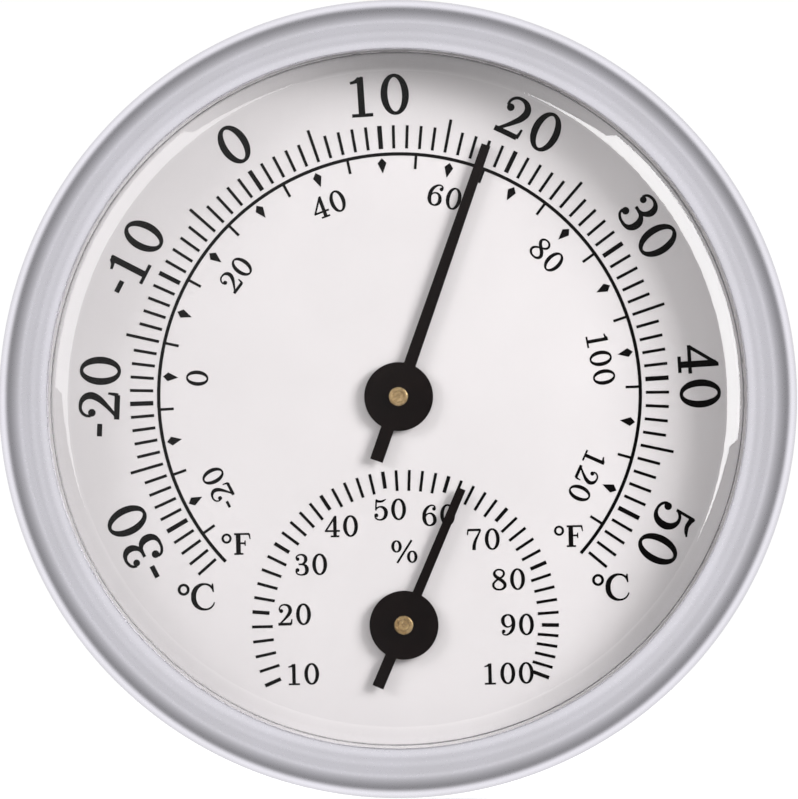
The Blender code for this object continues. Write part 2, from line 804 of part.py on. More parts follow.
humidity_axis_height = temperature_axis_height - movement_spacing
case_frame = new_frame("case_frame", (0.0, 0.0, 0.0), (math.pi / 2, 0.0, 0.0))
make_bezel(case_frame)
make_lens(case_frame)
make_gasket(case_frame)
make_chassis_ring(case_frame)
make_dial_plate(case_frame, (temperature_axis_height, humidity_axis_height))
make_rear_cover(case_frame, humidity_axis_height)
make_cover_screws(case_frame)
make_desk_leg(case_frame)
make_movement(
    "temperature", temperature_axis_height, temperature_rest_degrees,
    "temperature_bimetal_coil", "bimetal", case_frame,
)
make_movement(
    "humidity", humidity_axis_height, humidity_rest_degrees,
    "humidity_hygroscopic_coil", "hygro", case_frame,
)
bpy.context.view_layer.update()
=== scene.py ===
import math

import bmesh
import bpy
from mathutils import Matrix, Vector


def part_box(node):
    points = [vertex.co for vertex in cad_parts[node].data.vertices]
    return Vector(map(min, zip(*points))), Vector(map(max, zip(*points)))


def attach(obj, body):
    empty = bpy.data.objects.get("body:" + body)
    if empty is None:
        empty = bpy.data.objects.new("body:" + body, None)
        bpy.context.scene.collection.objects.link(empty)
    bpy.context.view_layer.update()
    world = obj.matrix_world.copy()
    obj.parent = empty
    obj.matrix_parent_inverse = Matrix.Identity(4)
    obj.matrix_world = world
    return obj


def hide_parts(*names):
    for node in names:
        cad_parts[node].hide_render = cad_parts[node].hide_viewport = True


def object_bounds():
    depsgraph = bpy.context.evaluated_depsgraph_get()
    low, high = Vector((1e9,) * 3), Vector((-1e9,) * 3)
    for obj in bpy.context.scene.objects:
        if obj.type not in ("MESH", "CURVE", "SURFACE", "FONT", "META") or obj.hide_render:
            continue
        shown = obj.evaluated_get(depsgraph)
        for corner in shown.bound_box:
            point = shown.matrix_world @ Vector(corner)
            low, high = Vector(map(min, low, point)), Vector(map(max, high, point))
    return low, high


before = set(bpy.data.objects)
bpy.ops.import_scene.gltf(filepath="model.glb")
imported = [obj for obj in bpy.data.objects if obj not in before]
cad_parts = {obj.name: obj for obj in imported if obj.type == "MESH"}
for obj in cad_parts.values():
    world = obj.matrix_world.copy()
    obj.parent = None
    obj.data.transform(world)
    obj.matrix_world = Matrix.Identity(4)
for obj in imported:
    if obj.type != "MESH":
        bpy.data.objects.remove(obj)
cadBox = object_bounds()

# The instrument is modelled in its dial frame, in millimetres: x to the right, y up
# and z from the wall towards the reader. toCase turns that frame upright, in metres.
mm = 0.001
toCase = Matrix.Rotation(math.pi / 2, 4, "X") @ Matrix.Scale(mm, 4)
scene = bpy.context.scene


def spanOf(node):
    # a node's place in the dial frame, in millimetres
    low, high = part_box(node)
    return {
        "radius": high.x / mm, "back": -high.y / mm, "front": -low.y / mm,
        "bottom": low.z / mm, "left": low.x / mm, "right": high.x / mm,
        "middle": (low.z + high.z) / 2 / mm,
    }


# the noise node keeps nearly all of its values inside this range
noiseRange = (0.3, 0.7)
# the wave node turns this many radians per unit of length and of scale
waveRate = 20


def linearColour(hexText):
    shares = [int(hexText[start:start + 2], 16) / 255 for start in (1, 3, 5)]
    linear = [s / 12.92 if s <= 0.04045 else ((s + 0.055) / 1.055) ** 2.4 for s in shares]
    return (*linear, 1.0)


def addNode(tree, kind, inputs=None, **settings):
    node = tree.nodes.new("ShaderNode" + kind)
    for name, value in settings.items():
        setattr(node, name, value)
    for socket, value in (inputs or {}).items():
        if isinstance(value, bpy.types.NodeSocket):
            tree.links.new(value, node.inputs[socket])
        else:
            node.inputs[socket].default_value = value
    return node


def newTree(name):
    material = bpy.data.materials.new(name)
    material.use_nodes = True
    material.node_tree.nodes.clear()
    return material, material.node_tree


def noise(tree, place, size, detail=2.0, roughness=0.5):
    # "size" is the width of one patch, in millimetres
    return addNode(tree, "TexNoise", {
        "Vector": place, "Scale": 1 / (size * mm), "Detail": detail, "Roughness": roughness,
    }).outputs["Fac"]


def spread(tree, value, source, target=(0.0, 1.0)):
    return addNode(tree, "MapRange", {
        "Value": value, "From Min": source[0], "From Max": source[1],
        "To Min": target[0], "To Max": target[1],
    }).outputs["Result"]


def added(tree, first, second):
    return addNode(tree, "Math", {0: first, 1: second}, operation="ADD").outputs[0]


def gloss(tree, look, grain):
    return spread(tree, grain, noiseRange, (look["smooth"], look["rough"]))


def relief(tree, look, height):
    return addNode(tree, "Bump", {
        "Height": height, "Distance": look["relief"] * mm, "Strength": 1.0,
    }).outputs["Normal"]


def addSurface(tree, look, share, grain, height):
    colour = addNode(tree, "MixRGB", {
        "Fac": share, "Color1": linearColour(look["dark"]), "Color2": linearColour(look["light"]),
    })
    shader = addNode(tree, "BsdfPrincipled", {
        "Base Color": colour.outputs["Color"], "Roughness": gloss(tree, look, grain),
        "Metallic": look.get("metallic", 0.0), "IOR": look.get("ior", 1.5),
        "Specular IOR Level": look.get("specular", 0.5), "Normal": relief(tree, look, height),
    })
    addNode(tree, "OutputMaterial", {"Surface": shader.outputs["BSDF"]})


def makeFinish(name, look):
    # Broad mottle and fine grain shift the colour, the grain also breaks the gloss and
    # stands a little proud. "stretch" draws the grain out the way the surface was worked.
    material, tree = newTree(name)
    place = addNode(tree, "TexCoord").outputs["Object"]
    laid = addNode(tree, "Mapping", {"Vector": place, "Scale": look.get("stretch", (1.0, 1.0, 1.0))})
    grain = noise(tree, laid.outputs["Vector"], look["grain"], 3.0, 0.6)
    mottle = noise(tree, place, look["mottle"])
    share = spread(tree, added(tree, grain, mottle), (0.7, 1.3))
    addSurface(tree, look, share, grain, grain)
    return material


def makeSpunFinish(name, look, axisHeight=0.0):
    # Lathe-turned metal: fine rings about the part's own axis, over the same grain.
    material, tree = newTree(name)
    place = addNode(tree, "TexCoord").outputs["Object"]
    centred = addNode(tree, "Mapping", {"Vector": place, "Location": (0.0, 0.0, -axisHeight * mm)})
    rings = addNode(tree, "TexWave", {
        "Vector": centred.outputs["Vector"], "Scale": math.tau / (waveRate * look["pitch"] * mm),
        "Distortion": look["waver"], "Detail": 2.0, "Detail Scale": 1.5,
    }, wave_type="RINGS", rings_direction="Y").outputs["Fac"]
    grain = noise(tree, place, look["grain"], 3.0)
    share = spread(tree, noise(tree, place, look["mottle"]), noiseRange)
    addSurface(tree, look, share, grain, added(tree, rings, grain))
    return material


def makeClearAcrylic(name, look):
    # Polished cast acrylic, nearly colourless. Shadow and diffuse rays pass straight through,
    # so that the dial behind it is lit.
    material, tree = newTree(name)
    place = addNode(tree, "TexCoord").outputs["Object"]
    ripple = noise(tree, place, look["ripple"])
    glass = addNode(tree, "BsdfPrincipled", {
        "Base Color": linearColour(look["tint"]), "Roughness": gloss(tree, look, ripple),
        "IOR": look["ior"], "Transmission Weight": 1.0, "Normal": relief(tree, look, ripple),
    })
    clear = addNode(tree, "BsdfTransparent", {"Color": linearColour(look["lampTint"])})
    path = addNode(tree, "LightPath")
    bounced = addNode(tree, "MixShader", {
        "Fac": path.outputs["Is Diffuse Ray"], 1: glass.outputs["BSDF"], 2: clear.outputs["BSDF"],
    })
    shader = addNode(tree, "MixShader", {
        "Fac": path.outputs["Is Shadow Ray"], 1: bounced.outputs["Shader"], 2: clear.outputs["BSDF"],
    })
    addNode(tree, "OutputMaterial", {"Surface": shader.outputs["Shader"]})
    return material


finishes = {
    # spun aluminium under satin silver lacquer: soft, even bands of light with a lavender cast
    "bezel": makeSpunFinish("satin_lacquered_aluminium", {
        "dark": "#E4E2E9", "light": "#E7E5ED", "smooth": 0.27, "rough": 0.3, "metallic": 1.0,
        "pitch": 0.5, "waver": 0.6, "grain": 0.3, "mottle": 9.0, "relief": 0.00003,
    }),
    "lens": makeClearAcrylic("polished_cast_acrylic", {
        "tint": "#FBFAFA", "lampTint": "#F6F5F5", "ior": 1.49, "ripple": 30.0, "relief": 0.01,
        "smooth": 0.0, "rough": 0.03,
    }),
    # grey silicone: soft satin
    "seal": makeFinish("grey_silicone_rubber", {
        "dark": "#9C9BA0", "light": "#ABAAAF", "grain": 0.35, "mottle": 6.0,
        "smooth": 0.6, "rough": 0.75, "relief": 0.01,
    }),
    # moulded ABS: dark grey, so that its wall throws little light on the dial's rim
    "chassis": makeFinish("moulded_abs_dark_grey", {
        "dark": "#6C6C6F", "light": "#76767A", "grain": 0.4, "mottle": 14.0,
        "smooth": 0.42, "rough": 0.55, "relief": 0.006, "ior": 1.54,
    }),
    # satin silver-white lacquer on aluminium sheet, with a trace of metallic flake
    "dial": makeFinish("satin_silver_white_lacquer", {
        "dark": "#E3E1E2", "light": "#EAE8E9", "grain": 0.22, "mottle": 22.0,
        "smooth": 0.42, "rough": 0.56, "metallic": 0.05, "relief": 0.0015,
    }),
    # screen-printed ink: dense black with a trace of brown, and no gloss
    "ink": makeFinish("screen_print_black_ink", {
        "dark": "#020101", "light": "#060404", "grain": 0.15, "mottle": 3.0,
        "smooth": 0.45, "rough": 0.62, "relief": 0.004, "specular": 0.0,
    }),
    # black lacquered aluminium hands: semi-matt, with a warm brown-black tone
    "pointer": makeFinish("semi_matt_black_lacquer", {
        "dark": "#080303", "light": "#0F0706", "grain": 0.12, "mottle": 5.0,
        "smooth": 0.4, "rough": 0.55, "relief": 0.004, "specular": 0.02,
    }),
    # spark-eroded ABS: matt and fine-pebbled, the grain about half a millimetre
    "cover": makeFinish("spark_eroded_abs_pale_grey", {
        "dark": "#D2D2D4", "light": "#DDDDDE", "grain": 0.5, "mottle": 18.0,
        "smooth": 0.5, "rough": 0.68, "relief": 0.03, "ior": 1.54,
    }),
    # zinc plating with clear passivation: cool, slightly uneven, half bright
    "steel": makeFinish("zinc_plated_steel", {
        "dark": "#A9ADB4", "light": "#C9CCD2", "grain": 0.25, "mottle": 2.0,
        "smooth": 0.22, "rough": 0.42, "metallic": 1.0, "relief": 0.003,
    }),
    # free-cutting brass as machined: warm yellow with a soft tool mark
    "brass": makeFinish("machined_brass", {
        "dark": "#B98F45", "light": "#D9B36A", "grain": 0.2, "mottle": 2.5,
        "smooth": 0.2, "rough": 0.38, "metallic": 1.0, "relief": 0.003,
    }),
    # rolled bimetal: grey-brown strip with the rolling drawn out along its length
    "bimetal": makeFinish("rolled_bimetal_strip", {
        "dark": "#8F7E69", "light": "#B8A78F", "grain": 0.3, "mottle": 3.0,
        "smooth": 0.25, "rough": 0.45, "metallic": 1.0, "relief": 0.003, "stretch": (1.0, 6.0, 1.0),
    }),
    # copper-alloy strip with a dull tan hygroscopic coat
    "hygroscopic": makeFinish("hygroscopic_coated_strip", {
        "dark": "#9C8459", "light": "#B99C6B", "grain": 0.18, "mottle": 2.0,
        "smooth": 0.55, "rough": 0.8, "metallic": 0.2, "relief": 0.008,
    }),
}
print("materials made:", len(finishes))


# The modelling functions work in the dial frame.
# Corners closer than this are one corner.
weldDistance = 0.0001
# A face whose normal is this nearly square to the dial counts as flat.
flatNormal = 0.999999
# steps round the bezel and the lens
rimSteps = 240


def arc(centre, radius, start, end, steps):
    # points on an arc, degrees from +x towards +y, both ends included
    angles = [math.radians(start + (end - start) * step / steps) for step in range(steps + 1)]
    return [(centre[0] + radius * math.cos(a), centre[1] + radius * math.sin(a)) for a in angles]


def circle(centre, radius, steps):
    return arc(centre, radius, 0, 360, steps)[:-1]


def turned(profile, ring=True, steps=192):
    # (radius, height) points spun about z; a ring profile closes on itself
    shape = bmesh.new()
    points = [shape.verts.new((radius, 0.0, height)) for radius, height in profile]
    edges = [shape.edges.new(pair) for pair in zip(points, points[1:])]
    if ring:
        edges.append(shape.edges.new((points[-1], points[0])))
    bmesh.ops.spin(
        shape, geom=points + edges, axis=(0.0, 0.0, 1.0), cent=(0.0, 0.0, 0.0),
        angle=math.tau, steps=steps, use_merge=True,
    )
    bmesh.ops.remove_doubles(shape, verts=shape.verts, dist=weldDistance)
    bmesh.ops.recalc_face_normals(shape, faces=shape.faces)
    return shape


def swept(low, high, inner, outer, start, end, steps):
    # a closed band between two radii and two heights, over part of a turn
    shape = bmesh.new()
    corners = [(inner, 0.0, low), (outer, 0.0, low), (outer, 0.0, high), (inner, 0.0, high)]
    face = shape.faces.new([shape.verts.new(corner) for corner in corners])
    bmesh.ops.rotate(shape, verts=shape.verts, matrix=Matrix.Rotation(math.radians(start), 3, "Z"))
    bmesh.ops.spin(
        shape, geom=[face], axis=(0.0, 0.0, 1.0), cent=(0.0, 0.0, 0.0),
        angle=math.radians(end - start), steps=steps,
    )
    bmesh.ops.recalc_face_normals(shape, faces=shape.faces)
    return shape


def plate(outlines, back, front, edge=0.0, edgeSteps=2):
    # a flat outline with holes, its edges rounded by "edge"
    curve = bpy.data.curves.new("outline", "CURVE")
    curve.dimensions = "2D"
    curve.fill_mode = "BOTH"
    curve.extrude = (front - back) / 2 - edge
    curve.bevel_depth = edge
    curve.bevel_resolution = edgeSteps
    curve.offset = -edge
    for outline in outlines:
        spline = curve.splines.new("POLY")
        spline.points.add(len(outline) - 1)
        for point, (across, up) in zip(spline.points, outline):
            point.co = (across, up, 0.0, 1.0)
        spline.use_cyclic_u = True
    return fromCurve(curve, (0.0, 0.0, (back + front) / 2))


def fromCurve(curve, shift=(0.0, 0.0, 0.0)):
    source = bpy.data.objects.new("curve", curve)
    scene.collection.objects.link(source)
    mesh = bpy.data.meshes.new_from_object(source.evaluated_get(bpy.context.evaluated_depsgraph_get()))
    bpy.data.objects.remove(source, do_unlink=True)
    bpy.data.curves.remove(curve)
    shape = bmesh.new()
    shape.from_mesh(mesh)
    bpy.data.meshes.remove(mesh)
    bmesh.ops.remove_doubles(shape, verts=shape.verts, dist=weldDistance)
    bmesh.ops.recalc_face_normals(shape, faces=shape.faces)
    bmesh.ops.translate(shape, verts=shape.verts, vec=shift)
    return shape


def block(size, centre, turn=0.0):
    shape = bmesh.new()
    bmesh.ops.create_cube(shape, size=1.0)
    bmesh.ops.scale(shape, verts=shape.verts, vec=size)
    bmesh.ops.rotate(shape, verts=shape.verts, matrix=Matrix.Rotation(turn, 3, "Z"))
    bmesh.ops.translate(shape, verts=shape.verts, vec=centre)
    return shape


def bar(radius, length, centre, steps=32):
    # a round bar lying along x
    shape = bmesh.new()
    bmesh.ops.create_cone(
        shape, cap_ends=True, segments=steps, radius1=radius, radius2=radius, depth=length
    )
    bmesh.ops.rotate(shape, verts=shape.verts, matrix=Matrix.Rotation(math.pi / 2, 3, "Y"))
    bmesh.ops.translate(shape, verts=shape.verts, vec=centre)
    return shape


def looseObject(shape):
    mesh = bpy.data.meshes.new("loose")
    shape.to_mesh(mesh)
    shape.free()
    item = bpy.data.objects.new("loose", mesh)
    scene.collection.objects.link(item)
    return item


def carved(shape, tool, operation="DIFFERENCE"):
    solid = looseObject(shape)
    cutter = looseObject(tool)
    boolean = solid.modifiers.new("carve", "BOOLEAN")
    boolean.operation = operation
    boolean.solver = "EXACT"
    boolean.object = cutter
    mesh = bpy.data.meshes.new_from_object(solid.evaluated_get(bpy.context.evaluated_depsgraph_get()))
    for item in (solid, cutter):
        bpy.data.objects.remove(item, do_unlink=True)
    result = bmesh.new()
    result.from_mesh(mesh)
    bpy.data.meshes.remove(mesh)
    return result


def softened(shape, width, steps=2, sharpest=40):
    # breaks the sharp edges of a carved solid
    bmesh.ops.dissolve_limit(
        shape, angle_limit=math.radians(1), verts=shape.verts, edges=shape.edges
    )
    sharp = [e for e in shape.edges if len(e.link_faces) == 2
             and e.calc_face_angle() > math.radians(sharpest)]
    bmesh.ops.bevel(
        shape, geom=sharp, offset=width, segments=steps, affect="EDGES", profile=0.5,
        material=-1, clamp_overlap=True,
    )
    return shape


def finishPiece(name, shape, finish, body, replaced=(), crease=35):
    bmesh.ops.transform(shape, matrix=toCase, verts=shape.verts)
    mesh = bpy.data.meshes.new(name)
    shape.to_mesh(mesh)
    shape.free()
    mesh.materials.append(finish)
    mesh.shade_smooth()
    mesh.set_sharp_from_angle(angle=math.radians(crease))
    # faces that lie flat to the dial keep their own normal, so that no shading runs across them
    for face in mesh.polygons:
        if abs(face.normal.y) > flatNormal:
            face.use_smooth = False
    piece = bpy.data.objects.new(name, mesh)
    scene.collection.objects.link(piece)
    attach(piece, body)
    if replaced:
        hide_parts(*replaced)
    return piece


bezelSpan = spanOf("bezel")
bezel = {
    "radius": bezelSpan["radius"], "front": bezelSpan["front"], "back": bezelSpan["back"],
    "wall": 0.8, "cornerRadius": 4.0, "faceWidth": 8.15, "slopeWidth": 3.3, "slopeTilt": 25.0,
    "slopeRound": 0.3, "lipBottom": 22.45, "hemWidth": 1.2, "hemRound": 1.0,
}


def makeBezel():
    wall, front = bezel["wall"], bezel["front"]
    opening = bezel["radius"] - bezel["faceWidth"]
    inner = bezel["radius"] - wall
    corner = (bezel["radius"] - bezel["cornerRadius"], front - bezel["cornerRadius"])
    hemTop = bezel["back"] + wall
    hemInner = inner - bezel["hemWidth"]
    hemCorner = (bezel["radius"] - bezel["hemRound"], bezel["back"] + bezel["hemRound"])
    # the crown eases down to the lens on a large radius, then turns in round its edge
    tilt, turn = bezel["slopeTilt"], bezel["slopeRound"]
    lean = math.radians(tilt)
    edgeWidth = turn * (1 - math.sin(lean))
    slopeRadius = (bezel["slopeWidth"] - edgeWidth) / math.sin(lean)
    slope = (opening + bezel["slopeWidth"], front - slopeRadius)
    edge = (opening + turn, front - slopeRadius * (1 - math.cos(lean)) - turn * math.cos(lean))
    profile = arc(corner, bezel["cornerRadius"], 90, 0, 24)
    profile += arc(hemCorner, bezel["hemRound"], 0, -90, 8)
    profile += [(hemInner, bezel["back"]), (hemInner, hemTop), (inner, hemTop)]
    profile += arc(corner, bezel["cornerRadius"] - wall, 0, 90, 12)
    profile += arc(slope, slopeRadius - wall, 90, 90 + tilt, 6)[1:]
    profile += [(opening + wall, edge[1] - wall), (opening + wall, bezel["lipBottom"])]
    profile += [(opening, bezel["lipBottom"])]
    profile += arc(edge, turn, 180, 90 + tilt, 6)
    profile += arc(slope, slopeRadius, 90 + tilt, 90, 16)[1:]
    return turned(profile, steps=rimSteps)


bezelPiece = finishPiece("bezel_shell", makeBezel(), finishes["bezel"], "case", ["bezel"])
print("bezel made")


lensSpan = spanOf("lens")
lens = {
    "top": lensSpan["front"], "flangeRadius": lensSpan["radius"], "flangeBottom": lensSpan["back"],
    "radius": 56.5, "plateau": 53.3, "tilt": 25.0, "topRound": 3.0, "footRound": 0.4, "wall": 1.4,
    "sideWall": 0.55, "edgeBreak": 0.15,
}


def makeLens():
    # a flat window with a conical shoulder, a short wall and a flange under the bezel
    tilt, wall, edge = lens["tilt"], lens["wall"], lens["edgeBreak"]
    lean = math.radians(tilt)
    topRound, footRound = lens["topRound"], lens["footRound"]
    topCentre = (lens["plateau"], lens["top"] - topRound)
    chamferTop = (
        topCentre[0] + topRound * math.sin(lean), topCentre[1] + topRound * math.cos(lean),
    )
    footAcross = lens["radius"] - footRound
    chamferWidth = footAcross + footRound * math.sin(lean) - chamferTop[0]
    footHeight = chamferTop[1] - chamferWidth * math.tan(lean) - footRound * math.cos(lean)
    flangeTop = lens["flangeBottom"] + wall
    innerWall = lens["radius"] - lens["sideWall"]
    innerTop = lens["top"] - wall
    # the inner face lies one wall thickness inside the shoulder, measured square to it
    innerStart = (chamferTop[0] - wall * math.sin(lean), chamferTop[1] - wall * math.cos(lean))
    wallTop = innerStart[1] - (innerWall - innerStart[0]) * math.tan(lean)
    profile = [(0.0, lens["top"]), (lens["plateau"] / 2, lens["top"])]
    profile += arc(topCentre, topRound, 90, 90 - tilt, 16)
    profile += arc((footAcross, footHeight), footRound, 90 - tilt, 0, 6)
    profile += [
        (lens["radius"], flangeTop), (lens["flangeRadius"] - edge, flangeTop),
        (lens["flangeRadius"], flangeTop - edge),
        (lens["flangeRadius"], lens["flangeBottom"] + edge),
        (lens["flangeRadius"] - edge, lens["flangeBottom"]),
        (innerWall + edge, lens["flangeBottom"]), (innerWall, lens["flangeBottom"] + edge),
        (innerWall, wallTop),
    ]
    profile += arc(topCentre, topRound - wall, 90 - tilt, 90, 12)
    profile += [(lens["plateau"] / 2, innerTop), (0.0, innerTop)]
    return turned(profile, ring=False, steps=rimSteps)


lensPiece = finishPiece("lens_dome", makeLens(), finishes["lens"], "case", ["lens"])
print("lens made")


sealSpan = spanOf("lens_gasket")
seal = {"outer": sealSpan["radius"], "width": 3.7, "round": 0.3}


def makeSeal():
    outer, inner = seal["outer"], seal["outer"] - seal["width"]
    back, front, turn = sealSpan["back"], sealSpan["front"], seal["round"]
    profile = []
    for centre, start in (
        ((outer - turn, front - turn), 90), ((outer - turn, back + turn), 0),
        ((inner + turn, back + turn), -90), ((inner + turn, front - turn), -180),
    ):
        profile += arc(centre, turn, start, start - 90, 3)
    return turned(profile)


finishPiece("lens_seal", makeSeal(), finishes["seal"], "case", ["lens_gasket"])

ringSpan = spanOf("chassis_ring")
screwSpans = [spanOf(f"cover_screw_{number}") for number in range(1, 5)]
screwPlaces = [((s["left"] + s["right"]) / 2, s["middle"]) for s in screwSpans]
chassis = {
    "outer": ringSpan["radius"], "front": ringSpan["front"], "back": ringSpan["back"],
    "inner": 57.6, "bore": 58.7, "seat": 13.8, "edgeBreak": 0.2,
    "pocketWidth": 2.2, "pocketDegrees": 66, "faceWall": 1.8, "holeRadius": 1.15, "holeDepth": 13.0,
    "cutPast": 1.0,
}


def makeChassisRing():
    edge = chassis["edgeBreak"]
    outer, inner, bore = chassis["outer"], chassis["inner"], chassis["bore"]
    front, back, seat = chassis["front"], chassis["back"], chassis["seat"]
    profile = [
        (outer - edge, front), (outer, front - edge), (outer, back + edge), (outer - edge, back),
        (bore + edge, back), (bore, back + edge), (bore, seat), (inner, seat),
        (inner, front - edge), (inner + edge, front),
    ]
    ring = turned(profile)
    middle = (bore + outer) / 2
    half = chassis["pocketWidth"] / 2
    cutBack = back - chassis["cutPast"]
    for index, place in enumerate(screwPlaces):
        start = 90 * index - chassis["pocketDegrees"] / 2
        pocket = swept(
            cutBack, front - chassis["faceWall"], middle - half, middle + half,
            start, start + chassis["pocketDegrees"], 24,
        )
        ring = carved(ring, pocket)
        hole = plate([circle(place, chassis["holeRadius"], 20)], cutBack, chassis["holeDepth"])
        ring = carved(ring, hole)
    return ring


finishPiece(
    "chassis_moulding", makeChassisRing(), finishes["chassis"], "case",
    ["chassis_ring"],
)
print("seal and chassis ring made")


dialSpan = spanOf("dial_plate")
axisHeights = {name: spanOf(f"{name}_pointer_boss")["middle"] for name in ("temperature", "humidity")}
dial = {
    "radius": dialSpan["radius"], "back": dialSpan["back"], "front": dialSpan["front"],
    "holeRadius": 2.3, "edgeBreak": 0.06,
}


def makeDialPlate():
    outlines = [circle((0.0, 0.0), dial["radius"], 192)]
    outlines += [circle((0.0, height), dial["holeRadius"], 32) for height in axisHeights.values()]
    return plate(outlines, dial["back"], dial["front"], dial["edgeBreak"])


finishPiece("dial_sheet", makeDialPlate(), finishes["dial"], "case", ["dial_plate"])
print("dial plate made")


# Numerals and letters are drawn as pen strokes of changing width. Each stroke is a run of
# (x, y, half width) in heights of the figure; a ball is (x, y, radius).
def ringStroke(centre, width, height, side, cap, steps=20):
    # an upright oval, thick at its sides and thin at top and bottom
    stroke = []
    for step in range(steps):
        angle = math.tau * step / steps
        swell = abs(math.cos(angle)) ** 1.4
        stroke.append((
            centre[0] + (width - side) / 2 * math.cos(angle),
            centre[1] + (height - cap) / 2 * math.sin(angle),
            (cap + (side - cap) * swell) / 2,
        ))
    return stroke


